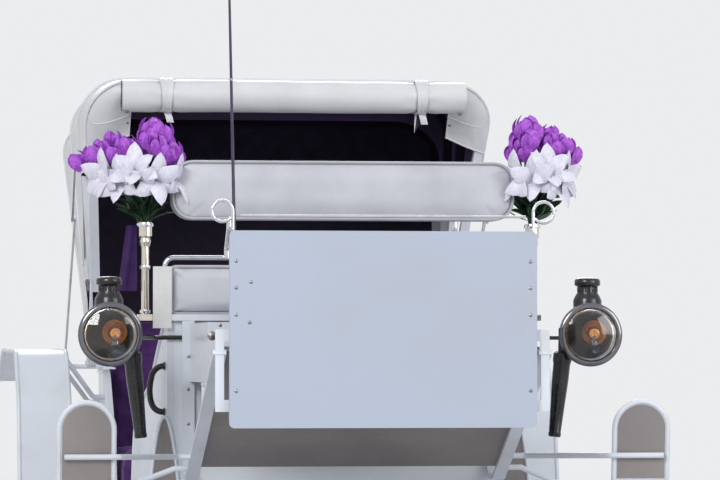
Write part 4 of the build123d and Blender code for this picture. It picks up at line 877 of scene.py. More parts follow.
class BuildCurtainRoll(bpy.types.Operator):
    """Roll the front curtain up under the front bow and strap it"""

    bl_idname = "carriage.build_curtain_roll"
    bl_label = "Front curtain"

    def execute(self, context):
        self.roll()
        self.straps()
        self.corners()
        return {"FINISHED"}

    def roll(self):
        """The curtain as a spiral with loose folds and with pleats beside the straps."""
        pitch = sizes().roll_pitch
        turns = (ROLL_RADIUS - ROLL_CORE) / pitch

        def place(across, along):
            turn = along * turns * 2 * math.pi
            radius = ROLL_CORE + pitch * turn / (2 * math.pi)
            x = (across - 0.5) * 2 * ROLL_HALF
            phase = turn + ROLL_END_TURN
            up, out = math.sin(phase), math.cos(phase)
            loose = noise.noise(Vector((x * 3.2, out, up))) * 0.5
            loose += noise.noise(Vector((x * 11, out * 2.5, up * 2.5 + turn))) * 0.22
            near = min(abs(x - at) for at in STRAPS_X)
            pleats = math.sin(phase * 7 + 9 * x) * math.exp(-((near - 0.035) / 0.030) ** 2)
            radius *= 1 - pinched(x) * along
            radius += (pitch * loose * 0.55 + 0.0013 * pleats) * along - ROLL_THICKNESS
            return by_roll(x, phase, radius)

        roll = lined(start_grid("rolled_curtain", 90, 150, place), ROLL_THICKNESS)
        done(roll, "bow_front", "hood_vinyl", None, ["front_curtain"], CLOTH_ANGLE)

    def straps(self):
        """Two straps round the roll, each with its loose end, and the studs of the corners."""
        parts = []
        for at in STRAPS_X:
            def place(across, along, at=at):
                turn = along * 2 * math.pi * 0.999
                wide = STRAP_WIDTH * (1 + 0.55 * math.sin(turn) ** 4) + 0.003 * math.sin(turn * 3 + at)
                x = at + (across - 0.5) * wide
                radius = ROLL_RADIUS * (1 - pinched(x)) + 0.0006 + 0.0014 * math.sin(across * math.pi)
                return by_roll(x, turn, radius + 0.0012 * math.sin(across * 15 + turn * 2))
            parts.append(thickened(start_grid("strap", 12, 56, place), STRAP_THICKNESS))
            knot = by_front_bow(at + 0.004, ROLL_REACH - ROLL_RADIUS * 0.80, ROLL_AHEAD + ROLL_RADIUS * 0.42)
            parts.append(self.loose_end(knot, at))
        studs = []
        for half, down, ahead in STUDS:
            for x in (-half, half):
                spot = by_front_bow(x, ROLL_REACH - down, ROLL_AHEAD + ahead)
                out = by_front_bow(x, ROLL_REACH - down - 0.03, ROLL_AHEAD + ahead + 0.04) - spot
                studs.append(turned("stud", STUD_PROFILE, spot, out, 12))
        done(joined("curtain_straps", parts), "bow_front", "hood_vinyl", "hood", angle=CLOTH_ANGLE)
        done(joined("curtain_studs", studs), "bow_front", "chrome", "steel")

    def loose_end(self, spot, at):
        """The loose end of a strap."""
        def place(across, along):
            x = spot.x + (across - 0.5) * TAB_WIDTH + TAB_SLANT * along
            out = 0.006 * math.sin(along * 3.0 + at)
            return Vector((x, spot.y - out, spot.z - TAB_LENGTH * along))
        return thickened(start_grid("tab", 4, 8, place), TAB_THICKNESS)

    def corners(self):
        """The hood's two corner pieces, which end in a hanging flap, and the seams on each."""
        seams = []
        for side, sign in (("left", 1), ("right", -1)):
            def place(across, along, sign=sign):
                radius = BOWS["bow_front"][1]
                outer_x, outer_reach = bow_outline(radius, CORNER_FOOT, CORNER_SPAN * along, CORNER_OUT)
                x = outer_x + (FLAP_X - outer_x) * across
                reach = outer_reach + (FLAP_FOOT + FLAP_RISE * along - outer_reach) * across
                full = math.sin(math.pi * min(1.0, across * 0.9 + 0.02))
                full *= 0.25 + 0.75 * math.sin(math.pi * along ** 1.6)
                crease = FLAP_CREASE * abs(noise.noise(Vector((x * 26, reach * 16, 5.0 * sign))))
                return by_front_bow(sign * x, reach, FLAP_AHEAD + FLAP_FULLNESS * full + crease)
            sheet = start_grid("hood_corner_" + side, 20, 26, place)
            if sign > 0:
                pick(sheet, lambda face: True)
                bpy.ops.mesh.flip_normals()
                clear()
            lined(sheet, CORNER_THICKNESS)
            done(sheet, "bow_front", "hood_vinyl", angle=CLOTH_ANGLE)
            for route in SEAM_ROUTES:
                line = [place(*route(index / SEAM_RUNS)) for index in range(SEAM_RUNS + 1)]
                seams.append(start_line("seam", line, radius=SEAM_RADIUS))
        done(joined("corner_seams", seams), "bow_front", "hood_vinyl", "hood", angle=CLOTH_ANGLE)


# Soft seats

SWELL_FRAMES = 20
SWELL_PRESSURE, SWELL_STIFFNESS = 4.0, 12
TUFT_MESH, TUFT_STRETCH = 0.011, 1.15
SEAT_EDGE, BUTTON_MARGIN = 0.040, 0.05
BUTTON_PROFILE = [(0, 0.006), (0.006, 0.005), (0.010, 0.001), (0.008, -0.003)]
SOFT_ANGLE = 80
TRIM_GAP = 0.006
BACKRESTS = [
    # node, its foot and its top as (y, z), depth, which way it faces along Y
    ("front_backrest", (BODY_FRONT + 0.030, 1.000), (BODY_FRONT + 0.026, 1.482), 0.072, 1),
    ("rear_backrest", (KING_Y + 2.180, 1.000), (KING_Y + 2.358, 1.488), 0.098, -1),
]
DRIVER_PADS = [
    # node, corner radius, how far its cover lies in from the node's faces, how far it swells
    ("driver_back", 0.055, 0.010, 0.013), ("outer_pad", 0.012, 0.007, 0.010),
]
SEAM_BAND = 0.004
CUSHION_CORNER, CUSHION_IN, CUSHION_CROWN = 0.045, 0.006, 0.012
CUSHION_FOOT_SEAM, CUSHION_TOP_SEAM = 0.008, 0.002


def swollen(obj, pinned, voxel=0.006, cap=0.012):
    """Lets a pad swell like a stuffed cover, held along its seams."""
    modified(obj, "REMESH", mode="VOXEL", voxel_size=voxel, use_smooth_shade=True)
    hold = obj.vertex_groups.new(name="seams")
    rest = [point.co.copy() for point in obj.data.vertices]
    hold.add([index for index, point in enumerate(rest) if pinned(point)], 1.0, "REPLACE")
    only(obj)
    bpy.ops.object.modifier_add(type="CLOTH")
    cloth = obj.modifiers[-1]
    cloth.settings.quality = 4
    cloth.settings.vertex_group_mass = "seams"
    cloth.settings.use_pressure = True
    cloth.settings.uniform_pressure_force = SWELL_PRESSURE
    cloth.settings.effector_weights.gravity = 0.0
    cloth.settings.tension_stiffness = SWELL_STIFFNESS
    cloth.settings.compression_stiffness = SWELL_STIFFNESS
    cloth.collision_settings.use_collision = False
    cloth.point_cache.frame_start = 1
    cloth.point_cache.frame_end = SWELL_FRAMES
    scene = bpy.context.scene
    for step in range(1, SWELL_FRAMES + 1):
        scene.frame_set(step)
    shaped = obj.evaluated_get(bpy.context.evaluated_depsgraph_get()).data
    moved = [point.co.copy() for point in shaped.vertices]
    scene.frame_set(1)
    obj.modifiers.remove(cloth)
    obj.vertex_groups.clear()
    for point, start, end in zip(obj.data.vertices, rest, moved):
        step = end - start
        if step.length > cap:
            step *= cap / step.length
        point.co = start + step
    return modified(obj, "SUBSURF", levels=1, render_levels=1)


def tufted(name, width, length, depth, place):
    """A buttoned pad and its tufts' width and length; place(across, along, out) puts its points."""
    spacing, puff = sizes().tuft, sizes().puff
    tuft_width = width / max(2, round(width / spacing))
    tuft_length = length / max(1, round(length / (spacing * TUFT_STRETCH)))
    clear()
    bpy.ops.mesh.primitive_grid_add(
        x_subdivisions=int(width / TUFT_MESH), y_subdivisions=int(length / TUFT_MESH), size=1)
    obj = started(name)
    pick(obj, lambda face: True)
    bpy.ops.mesh.extrude_region_move(TRANSFORM_OT_translate={"value": (0, 0, -1)})
    outwards()
    for point in obj.data.vertices:
        x, y = point.co.x * width, (point.co.y + 0.5) * length
        if point.co.z > -0.5:
            point.co = place(x, y, 0.0)
            continue
        share = min(1.0, max(0.0, min(width / 2 - abs(x), y, length - y) / SEAT_EDGE))
        edge = math.sqrt(1 - (1 - share) ** 2)
        column, row = x / tuft_width, y / tuft_length
        fold = abs(math.sin(math.pi * (column + row)) * math.sin(math.pi * (column - row)))
        swell = puff * (fold ** 0.42 - 0.75)
        point.co = place(x, y, depth * (0.45 + 0.55 * edge) - puff * 0.3 + swell * edge)
    return obj, tuft_width, tuft_length


def buttons(name, width, length, tuft_width, tuft_length, depth, place, normal):
    """The covered buttons in a tufted pad's dimples."""
    spots = []
    columns = int(width / tuft_width)
    for row in range(1, int(2 * length / tuft_length)):
        y = row * tuft_length / 2
        for column in range(-columns, columns + 1):
            x = column * tuft_width / 2
            inside = abs(x) < width / 2 - BUTTON_MARGIN and BUTTON_MARGIN < y < length - BUTTON_MARGIN
            if (column + row) % 2 == 0 and inside:
                spots.append(place(x, y, depth - sizes().puff * 0.95))
    knob = turned("knob", BUTTON_PROFILE, ORIGIN, UPWARDS, 10)
    return copies(name, knob, [Matrix.Translation(spot) @ facing(normal) for spot in spots])


class BuildDriverSeat(bpy.types.Operator):
    """Stuff the driver's back rest, cushion and the padded panel below it"""

    bl_idname = "carriage.build_driver_seat"
    bl_label = "Driver's seat"

    def execute(self, context):
        for name, corner, inset, cap in DRIVER_PADS:
            self.upright_pad(name, corner, inset, cap)
        self.cushion()
        return {"FINISHED"}

    def upright_pad(self, name, corner, inset, cap):
        """A pad that faces forwards, with piping round its front and its back."""
        cord = sizes().piping
        low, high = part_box(name)
        centre = (low + high) / 2
        half_x, half_z = (high.x - low.x) / 2, (high.z - low.z) / 2
        front, back = low.y + inset, high.y - inset
        outline = ring_line(half_x - cord, half_z - cord, corner, (centre.x, front, centre.z))
        pad = start_plate(name + "_pad", outline, back - front)
        swollen(pad, lambda p: front + SEAM_BAND < p.y < back - SEAM_BAND, cap=cap)
        done(pad, "root", "ivory_vinyl", "ivory", [name], SOFT_ANGLE)
        seams = []
        for y in (front, back):
            line = ring_line(half_x - cord * 0.6, half_z - cord * 0.6, corner, (centre.x, y, centre.z))
            seams.append(start_line("seam", line, cyclic=True, radius=cord))
        done(joined(name + "_piping", seams), "root", "ivory_vinyl", "piping", angle=SOFT_ANGLE)

    def cushion(self):
        """The cushion, with piping round its top and its foot."""
        low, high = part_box("driver_cushion")
        top = high.z - CUSHION_CROWN
        pad = start_box("driver_cushion_pad", (low.x + CUSHION_IN, low.y + CUSHION_IN, low.z),
                        (high.x - CUSHION_IN, high.y - CUSHION_IN, top))
        pick(pad, upright, "edges")
        bpy.ops.mesh.bevel(offset=CUSHION_CORNER, segments=5)
        clear()
        swollen(pad, lambda p: p.z < top - 0.006, voxel=0.0075, cap=0.016)
        done(pad, "root", "ivory_vinyl", "ivory", ["driver_cushion"], SOFT_ANGLE)
        seams = []
        for z in (low.z + CUSHION_FOOT_SEAM, top - CUSHION_TOP_SEAM):
            half_x, half_y = (high.x - low.x) / 2 - CUSHION_IN, (high.y - low.y) / 2 - CUSHION_IN
            flat = ring_line(half_x, half_y, CUSHION_CORNER, ORIGIN)
            line = [Vector((p.x, (low.y + high.y) / 2 + p.z, z)) for p in flat]
            seams.append(start_line("seam", line, cyclic=True, radius=sizes().piping))
        done(joined("driver_cushion_piping", seams), "root", "ivory_vinyl", "piping", angle=SOFT_ANGLE)


class BuildPassengerSeats(bpy.types.Operator):
    """Upholster the two passenger seats"""

    bl_idname = "carriage.build_passenger_seats"
    bl_label = "Passenger seats"

    def execute(self, context):
        for seat in ("front_cushion", "rear_cushion"):
            low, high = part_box(seat)
            size, foot = high - low, Vector(((low.x + high.x) / 2, low.y, low.z))
            self.upholster(seat, size.x, size.y, size.z - 0.004,
                           lambda x, y, out, foot=foot: foot + Vector((x, y, out)), UPWARDS)
        for rest, foot, top, depth, side in BACKRESTS:
            low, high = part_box(rest)
            run = Vector((0, top[0] - foot[0], top[1] - foot[1]))
            along, out_dir = run.normalized(), Vector((0, run.z, -run.y)).normalized() * side

            def place(x, y, out, foot=foot, along=along, out_dir=out_dir):
                return Vector((x, *foot)) + along * y + out_dir * out
            self.upholster(rest, high.x - low.x, run.length, depth, place, out_dir)
        return {"FINISHED"}

    def upholster(self, seat, width, length, depth, place, normal):
        """A tufted pad and its buttons."""
        pad, *tufts = tufted(seat + "_pad", width - TRIM_GAP, length - TRIM_GAP, depth, place)
        done(pad, "root", "purple_cloth", "velvet", [seat], SOFT_ANGLE)
        knobs = buttons(seat + "_buttons", width, length, *tufts, depth, place, normal)
        done(knobs, "root", "purple_cloth", "velvet", angle=60)


# Flowers

CUP_Z = 1.770
TULIPS = [
    # across outwards from the cup, up from the cup's rim, forwards, size
    (0.178, 0.152, 0.00, 1.00), (0.146, 0.176, 0.03, 0.95), (0.117, 0.196, -0.02, 1.00),
    (0.094, 0.172, 0.05, 0.95), (0.087, 0.214, -0.04, 1.00), (0.066, 0.192, 0.03, 0.95),
    (0.042, 0.196, -0.03, 0.90), (0.122, 0.168, -0.05, 0.90), (-0.004, 0.214, 0.04, 1.15),
    (-0.020, 0.232, -0.01, 1.20), (-0.044, 0.222, 0.03, 1.20), (-0.026, 0.196, 0.06, 1.10),
    (-0.056, 0.196, -0.02, 1.10), (-0.070, 0.176, 0.03, 1.05), (-0.084, 0.158, 0.00, 0.95),
    (-0.052, 0.166, 0.06, 1.00), (0.010, 0.186, -0.05, 1.00), (-0.040, 0.190, -0.07, 1.00),
]
LILIES = [
    # across outwards from the cup, up from the cup's rim, forwards, where it looks: out, forwards, up
    (0.100, 0.134, 0.05, 0.95, 0.60, 0.00), (0.036, 0.136, 0.09, 0.20, 0.95, 0.40),
    (-0.062, 0.124, 0.06, -0.95, 0.60, 0.05), (0.064, 0.118, 0.08, 0.70, 0.80, -0.15),
    (-0.014, 0.120, 0.09, -0.30, 0.95, 0.00), (0.030, 0.120, -0.07, 0.10, -1.00, 0.10),
]
BOUQUETS = [
    # side, its sign along X, how wide the heads spread, how much higher they stand
    ("right", -1, 1.0, 0.0), ("left", 1, 0.62, 0.030),
]
PETALS_A_HEAD = 6
PETAL_TURN = math.pi / 3
TULIP_PETAL_OUT = 0.0125
LEAVES_A_SIDE = 130
STEM_RADIUS = 0.0028
RIBBON_TOP = (-0.606, KING_Y + 0.330, 1.762)
RIBBON_WIDTH, RIBBON_FLARE, RIBBON_LENGTH, RIBBON_THICKNESS = 0.030, 0.026, 0.19, 0.0008


def pointed(along):
    """The half width of a petal with a pointed tip."""
    return math.sin(math.pi * min(1.0, 0.09 + 0.91 * along ** 1.15)) ** 0.62


def blunt(along):
    """The half width of a petal with a round tip."""
    foot = 0.45 + 0.55 * math.sin(math.pi / 2 * min(1.0, along / 0.5))
    return foot * math.sqrt(1 - max(0.0, (along - 0.55) / 0.45) ** 2)


def petal(name, outline, length, width, cup, curl, ruffle=0.0):
    """One petal that stands along +Z and cups towards -Y."""
    def place(across, along):
        half = width / 2 * outline(along)
        side = (across - 0.5) * 2
        y = -cup * math.sin(math.pi * along * 0.8) + curl * along ** 3 + 0.35 * half * side * side
        wave = ruffle * math.sin(across * 17) * along ** 2
        return Vector((side * half, y + wave, length * along + wave))
    return start_grid(name, 7, 10, place)


def aimed(spot, direction, twist):
    """The place of a piece that stands on spot and points along direction."""
    return Matrix.Translation(spot) @ facing(direction) @ Matrix.Rotation(twist, 4, "Z")


class BuildFlowers(bpy.types.Operator):
    """Arrange tulips and lilies in the two holders"""

    bl_idname = "carriage.build_flowers"
    bl_label = "Flowers"

    def execute(self, context):
        dice = random.Random(7)
        for side, sign, spread, rise in BOUQUETS:
            cup = mirrored((HOLDER_X, HOLDER_Y, CUP_Z), sign)
            heads = self.tulips(side, sign, spread, rise, cup, dice)
            heads += self.lilies(side, sign, spread, cup, dice)
            self.stems(side, sign, cup, heads, dice)
            self.leaves(side, sign, cup, dice)
        self.ribbon()
        return {"FINISHED"}

    def tulips(self, side, sign, spread, rise, cup, dice):
        """The tulips of one bouquet, each of six petals; gives where each head is and points."""
        heads, petals = [], []
        for out, up, ahead, size in TULIPS:
            lift = up + rise * (0.5 + 2.0 * abs(out)) + dice.uniform(-0.005, 0.005)
            spot = cup + Vector((sign * out * spread, -ahead, lift))
            aim = (spot - cup).normalized() + Vector((dice.uniform(-0.25, 0.25), -0.1, 0.9))
            size *= dice.uniform(0.92, 1.06)
            heads.append((spot, aim))
            for turn in range(PETALS_A_HEAD):
                inner = 0.84 if turn % 2 else 1.0
                out_from_heart = Matrix.Translation((0, TULIP_PETAL_OUT * inner * size, 0))
                lay = out_from_heart @ Matrix.Scale(size * inner, 4)
                petals.append(aimed(spot, aim, 0) @ Matrix.Rotation(turn * PETAL_TURN, 4, "Z") @ lay)
        one = petal("tulip_petal", blunt, sizes().tulip, width=0.032, cup=-0.0095, curl=-0.0050,
                    ruffle=0.0006)
        done(copies("tulips_" + side, one, petals), "root", "petals", "tulip", ["bouquets"], SOFT_ANGLE)
        return heads

    def lilies(self, side, sign, spread, cup, dice):
        """The lilies of one bouquet, whose six petals open wide; gives where each head is and points."""
        heads, petals = [], []
        for out, up, ahead, look_out, look_ahead, look_up in LILIES:
            spot = cup + Vector((sign * out * spread, -ahead, up))
            aim = Vector((sign * look_out, -look_ahead, look_up + dice.uniform(-0.1, 0.1)))
            heads.append((spot, aim))
            for turn in range(PETALS_A_HEAD):
                tilt = Matrix.Rotation(math.radians(-30 + (8 if turn % 2 else -6)), 4, "X")
                size = Matrix.Scale(dice.uniform(0.86, 1.08), 4)
                twist = turn * PETAL_TURN + dice.uniform(-0.12, 0.12)
                petals.append(aimed(spot, aim, twist) @ tilt @ size)
        one = petal("lily_petal", pointed, sizes().lily, width=0.054, cup=0.010, curl=0.048,
                    ruffle=0.0010)
        done(copies("lilies_" + side, one, petals), "root", "petals", "lily", angle=SOFT_ANGLE)
        return heads

    def stems(self, side, sign, cup, heads, dice):
        """Stems from the cup to every head."""
        stems = []
        for spot, _ in heads:
            foot = cup + Vector((dice.uniform(-0.008, 0.008), dice.uniform(-0.008, 0.008), -0.028))
            knee = foot.lerp(spot, 0.45) + Vector((-sign * 0.010, 0, 0.020))
            line = [foot, cup.lerp(knee, 0.5), knee, spot]
            stems.append(start_line("stem", line, radius=STEM_RADIUS, resolution=1))
        done(joined("stems_" + side, stems), "root", "petals", "leaf", angle=SOFT_ANGLE)

    def leaves(self, side, sign, cup, dice):
        """Leaves that spread from the cup, more to the outside."""
        places = []
        for _ in range(LEAVES_A_SIDE):
            turn = dice.uniform(0, 2 * math.pi)
            lean = dice.uniform(0.3, 2.6)
            aim = Vector((math.cos(turn) * lean + sign * 0.15, math.sin(turn) * lean * 0.8 - 0.1, 1.0))
            foot = cup + Vector((0, 0, dice.uniform(0.0, 0.070)))
            spot = foot + aim.normalized() * dice.uniform(0.0, 0.03)
            size = Matrix.Diagonal((dice.uniform(0.45, 1.1), 1.0, dice.uniform(0.6, 1.0), 1.0))
            places.append(aimed(spot, aim, dice.uniform(0, 6.28)) @ size)
        one = petal("leaf", pointed, length=0.088, width=0.015, cup=0.004, curl=0.018)
        done(copies("leaves_" + side, one, places), "root", "petals", "leaf", angle=SOFT_ANGLE)

    def ribbon(self):
        """A satin ribbon that hangs behind the right holder."""
        top = Vector(RIBBON_TOP)

        def place(across, along):
            wave = math.sin(across * 9 + along * 3) * 0.007 * (0.3 + along)
            x = top.x + (across - 0.5) * (RIBBON_WIDTH + RIBBON_FLARE * along) - 0.012 * along
            return Vector((x, top.y + wave, top.z - RIBBON_LENGTH * along))
        sheet = thickened(start_grid("ribbon", 14, 24, place), RIBBON_THICKNESS)
        done(sheet, "root", "petals", "ribbon", angle=SOFT_ANGLE)


# Lamps: the profiles are (radius, distance along the axis), and backwards is the lens's axis

LAMP_FACE = (0.690, KING_Y + 0.050, 1.445)
LAMP_STEM = (0.622, KING_Y + 0.124, 1.390)
CROWN_BACK = 0.052
DISH_PLACE = Vector((0.014, 0.020, 0.006))
AMBER_PLACE = DISH_PLACE + Vector((0.003, 0, -0.003))
BURNER_PLACE = DISH_PLACE + Vector((0, 0.006, 0))
NECK_RADIUS, ARM_RADIUS = 0.014, 0.009
BRACKET_Y, BRACKET_Z = BODY_FRONT - 0.008, 1.437
BRACKET_LINE = [
    (0.4633, BRACKET_Y, BRACKET_Z), (0.545, BRACKET_Y, BRACKET_Z), (0.630, LAMP_STEM[1], BRACKET_Z)]
BRACKET_RADIUS, BRACKET_BEND = 0.0065, 0.028
STEM_LEAN = math.radians(6)
VENTS = 16
VENT_LOW, VENT_HIGH = (-0.0022, -0.0300, 0.122), (0.0022, -0.0275, 0.138)
SHELL_PROFILE = [
    (0.070, 0.014), (0.079, 0.013), (0.082, 0.020), (0.080, 0.060), (0.074, 0.078), (0.052, 0.102),
    (0.044, 0.112), (0.020, 0.118), (0, 0.119)]
CROWN_PROFILE = [
    (0.040, 0.056), (0.041, 0.098), (0.037, 0.108), (0.0285, 0.122), (0.028, 0.138), (0.035, 0.141),
    (0.037, 0.144), (0.037, 0.155), (0.034, 0.160), (0.028, 0.163), (0.008, 0.165), (0, 0.166)]
STEM_PROFILE = [
    (0.020, -0.006), (0.027, 0), (0.027, 0.020), (0.0245, 0.030), (0.0240, 0.080), (0.0205, 0.150),
    (0.0172, 0.226), (0.0188, 0.232), (0.0165, 0.240), (0, 0.240)]
BEZEL_PROFILE = [
    (0.074, 0.0115), (0.074, -0.004), (0.078, -0.009), (0.084, -0.0095), (0.088, -0.007),
    (0.089, -0.002), (0.0915, 0.0), (0.0915, 0.0115), (0.074, 0.0115)]
BEAD_PROFILE = [(0.0355, 0.0995), (0.0375, 0.101), (0.0355, 0.1025)]
LENS_PROFILE = [
    (0, -0.016), (0.025, -0.0148), (0.050, -0.0105), (0.0737, 0.0), (0.0737, 0.002), (0.050, -0.0085),
    (0.025, -0.0125), (0, -0.0137)]
INNER_RING_PROFILE = [(0.0735, 0.004), (0.067, 0.010), (0.062, 0.020), (0.060, 0.034)]
REFLECTOR_PROFILE = [(0.060, 0.034), (0.050, 0.042), (0.036, 0.050), (0.018, 0.056), (0, 0.058)]
DISH_PROFILE = [(0.035, 0.0), (0.0335, 0.002), (0.029, 0.012), (0.019, 0.022), (0.008, 0.026), (0, 0.027)]
AMBER_PROFILE = [
    (0, 0.004), (0.004, 0.0045), (0.006, 0.008), (0.009, 0.007), (0.011, 0.012), (0.0145, 0.013),
    (0.0150, 0.019), (0, 0.020)]
BURNER_PROFILE = [
    (0.004, -0.036), (0.011, -0.036), (0.011, -0.026), (0.0045, -0.020), (0.0045, -0.010), (0, -0.009)]
LAMP_PIECES = [
    # piece, its slot, its finish, the CAD nodes it stands for
    ("lamp_shells", "black_enamel", "black", ["lamp_bodies"]),
    # The bezels and reflectors are chrome darkened as painted reflection and painted shade.
    ("lamp_bezels", "chrome", "bezel", ["lamp_rims"]),
    ("lamp_lenses", "lamp_glass", "glass", ["lamp_glasses"]),
    # The amber pieces are a painted glint.
    ("lamp_ambers", "lamp_glass", "amber", []),
    ("lamp_reflectors", "chrome", "bezel", []),
    ("lamp_inner_rings", "chrome", "chrome", []),
    ("lamp_dishes", "chrome", "gilt", []),
]


class BuildLamps(bpy.types.Operator):
    """Model the two carriage lamps"""

    bl_idname = "carriage.build_lamps"
    bl_label = "Lamps"

    def execute(self, context):
        parts = {piece: [] for piece, *_ in LAMP_PIECES}
        for sign in (1, -1):
            face = mirrored(LAMP_FACE, sign)
            up = face + Vector((0, CROWN_BACK, 0))
            parts["lamp_shells"] += self.shell(face, up) + self.stem(sign, face)
            parts["lamp_bezels"] += [
                turned("bezel", BEZEL_PROFILE, face, BACKWARDS, 56),
                turned("bead", BEAD_PROFILE, up, UPWARDS, 32)]
            parts["lamp_lenses"].append(turned("lens", LENS_PROFILE, face, BACKWARDS, 48))
            parts["lamp_inner_rings"].append(turned("inner_ring", INNER_RING_PROFILE, face, BACKWARDS, 48))
            parts["lamp_reflectors"] += [
                turned("reflector", REFLECTOR_PROFILE, face, BACKWARDS, 48),
                turned("burner", BURNER_PROFILE, face + BURNER_PLACE, UPWARDS, 20)]
            parts["lamp_dishes"].append(turned("dish", DISH_PROFILE, face + DISH_PLACE, BACKWARDS, 36))
            parts["lamp_ambers"].append(turned("amber", AMBER_PROFILE, face + AMBER_PLACE, BACKWARDS, 24))
        for piece, slot, finish_name, stands_for in LAMP_PIECES:
            done(joined(piece, parts[piece]), "root", slot, finish_name, stands_for)
        return {"FINISHED"}

    def shell(self, face, up):
        """The round shell behind the lens and the ribbed crown over it."""
        rib = bevelled(start_box("vent", VENT_LOW, VENT_HIGH), 0.001, 1)
        turns = [Matrix.Rotation(2 * math.pi / VENTS * index, 4, "Z") for index in range(VENTS)]
        return [
            turned("shell", SHELL_PROFILE, face, BACKWARDS, 48),
            turned("crown", CROWN_PROFILE, up, UPWARDS, 32),
            copies("ribs", rib, [Matrix.Translation(up) @ turn for turn in turns])]

    def stem(self, sign, face):
        """The candle stem below the lamp, with its neck, its arm and the bracket to the body."""
        stem = mirrored(LAMP_STEM, sign)
        down = (-sign * math.sin(STEM_LEAN), 0, -math.cos(STEM_LEAN))
        bracket = [mirrored(place, sign) for place in BRACKET_LINE]
        return [
            turned("stem", STEM_PROFILE, stem, down, 28),
            start_drum("neck", stem + Vector((0, 0, -0.01)), stem + Vector((0, -0.01, 0.075)), NECK_RADIUS),
            start_drum("arm", stem + Vector((0, 0, 0.047)),
                       face + Vector((-sign * 0.04, 0.074, -0.008)), ARM_RADIUS),
            start_line("bracket", rounded(bracket, [BRACKET_BEND]), radius=BRACKET_RADIUS)]


# Wheels and springs

WHEELS = [
    # name, sign of its side along X, spokes
    ("front_left", 1, 12), ("front_right", -1, 12), ("rear_left", 1, 14), ("rear_right", -1, 14),
]
HALF_TRACK = 0.750
RUBBER_DEPTH, FELLOE_DEPTH, FELLOE_HALF = 0.026, 0.042, 0.019
DISH = 0.014
SPOKE_FOOT, SPOKE_HALF_WIDTH, SPOKE_HALF_DEPTH = 0.052, 0.0145, 0.0125
HUB_PROFILE = [
    (0.0172, -0.095), (0.044, -0.095), (0.045, -0.070), (0.052, -0.052), (0.061, -0.032), (0.062, -0.026),
    (0.062, 0.022), (0.061, 0.028), (0.052, 0.046), (0.045, 0.068), (0.040, 0.071), (0.0172, 0.071)]
BAND_PROFILES = [
    [(0.0615, -0.020), (0.0635, -0.019), (0.0635, -0.014), (0.0615, -0.013)],
    [(0.0615, 0.012), (0.0635, 0.013), (0.0635, 0.018), (0.0615, 0.019)]]
CAP_PROFILE = [
    (0.041, 0.066), (0.0425, 0.070), (0.039, 0.076), (0.0385, 0.098), (0.032, 0.104), (0.026, 0.110),
    (0.012, 0.1125), (0, 0.113)]
BOLT_PROFILE = [(0, 0.0045), (0.005, 0.004), (0.0075, 0.0), (0.0075, -0.001)]


class BuildWheels(bpy.types.Operator):
    """Turn the hubs and fit spokes and felloes"""

    bl_idname = "carriage.build_wheels"
    bl_label = "Wheels"

    def execute(self, context):
        for name, sign, spokes in WHEELS:
            low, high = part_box("tyre_" + name)
            radius = (high.z - low.z) / 2
            centre = Vector((sign * HALF_TRACK, (low.y + high.y) / 2, radius))
            axle = Vector((sign, 0, 0))
            inner = radius - RUBBER_DEPTH - FELLOE_DEPTH
            wood = [
                turned("hub", HUB_PROFILE, centre, axle, 40),
                turned("felloe", self.felloe(inner), centre, axle, 96),
                self.spokes(centre, sign, inner, spokes)]
            body = "wheel_" + name
            done(joined("spoked_wheel_" + name, wood), body, "white_wood", "ash", [body])
            bands = [turned("band", profile, centre, axle, 40) for profile in BAND_PROFILES]
            bands.append(turned("cap", CAP_PROFILE, centre, axle, 32))
            bands.append(self.bolts(centre, axle, inner, spokes))
            done(joined("wheel_bands_" + name, bands), body, "chrome", "chrome")
        return {"FINISHED"}

    def felloe(self, inner):
        """The section of the wooden rim, its inner corners cut."""
        outer, cut = inner + FELLOE_DEPTH, 0.004
        back, front = DISH - FELLOE_HALF, DISH + FELLOE_HALF
        return [
            (inner, back + cut), (inner + cut, back), (outer, back), (outer, front),
            (inner + cut, front), (inner, front - cut), (inner, back + cut)]

    def bolts(self, centre, axle, inner, count):
        """A bolt at each side of the felloe between every two spokes."""
        spots = []
        for index in range(count):
            turn = 2 * math.pi * (index + 0.5) / count
            out = Vector((0, math.cos(turn), math.sin(turn)))
            for side in (1, -1):
                spot = centre + out * (inner + FELLOE_DEPTH / 2) + axle * (DISH + side * FELLOE_HALF)
                spots.append(Matrix.Translation(spot) @ facing(axle * side))
        return copies("bolts", turned("bolt", BOLT_PROFILE, ORIGIN, UPWARDS, 8), spots)

    def spokes(self, centre, sign, inner, count):
        """Tapered spokes, square at the hub and round at the rim."""
        tip = inner + 0.004
        spoke = start_box("spoke", (-SPOKE_HALF_WIDTH, -SPOKE_HALF_DEPTH, SPOKE_FOOT),
                          (SPOKE_HALF_WIDTH, SPOKE_HALF_DEPTH, tip))
        pick(spoke, upright, "edges")
        bpy.ops.mesh.subdivide(number_cuts=5)
        clear()
        bevelled(spoke, 0.005, 2)
        for point in spoke.data.vertices:
            share = (point.co.z - SPOKE_FOOT) / (tip - SPOKE_FOOT)
            waist = 1.0 - 0.22 * math.sin(math.pi * min(1.0, max(0.0, share * 1.1)))
            point.co.x = point.co.x * waist + sign * DISH * share
            point.co.y *= waist * (1.0 - 0.12 * share)
        turns = [Matrix.Rotation(2 * math.pi * index / count, 4, "X") for index in range(count)]
        return copies("spokes", spoke, [Matrix.Translation(centre) @ turn for turn in turns])


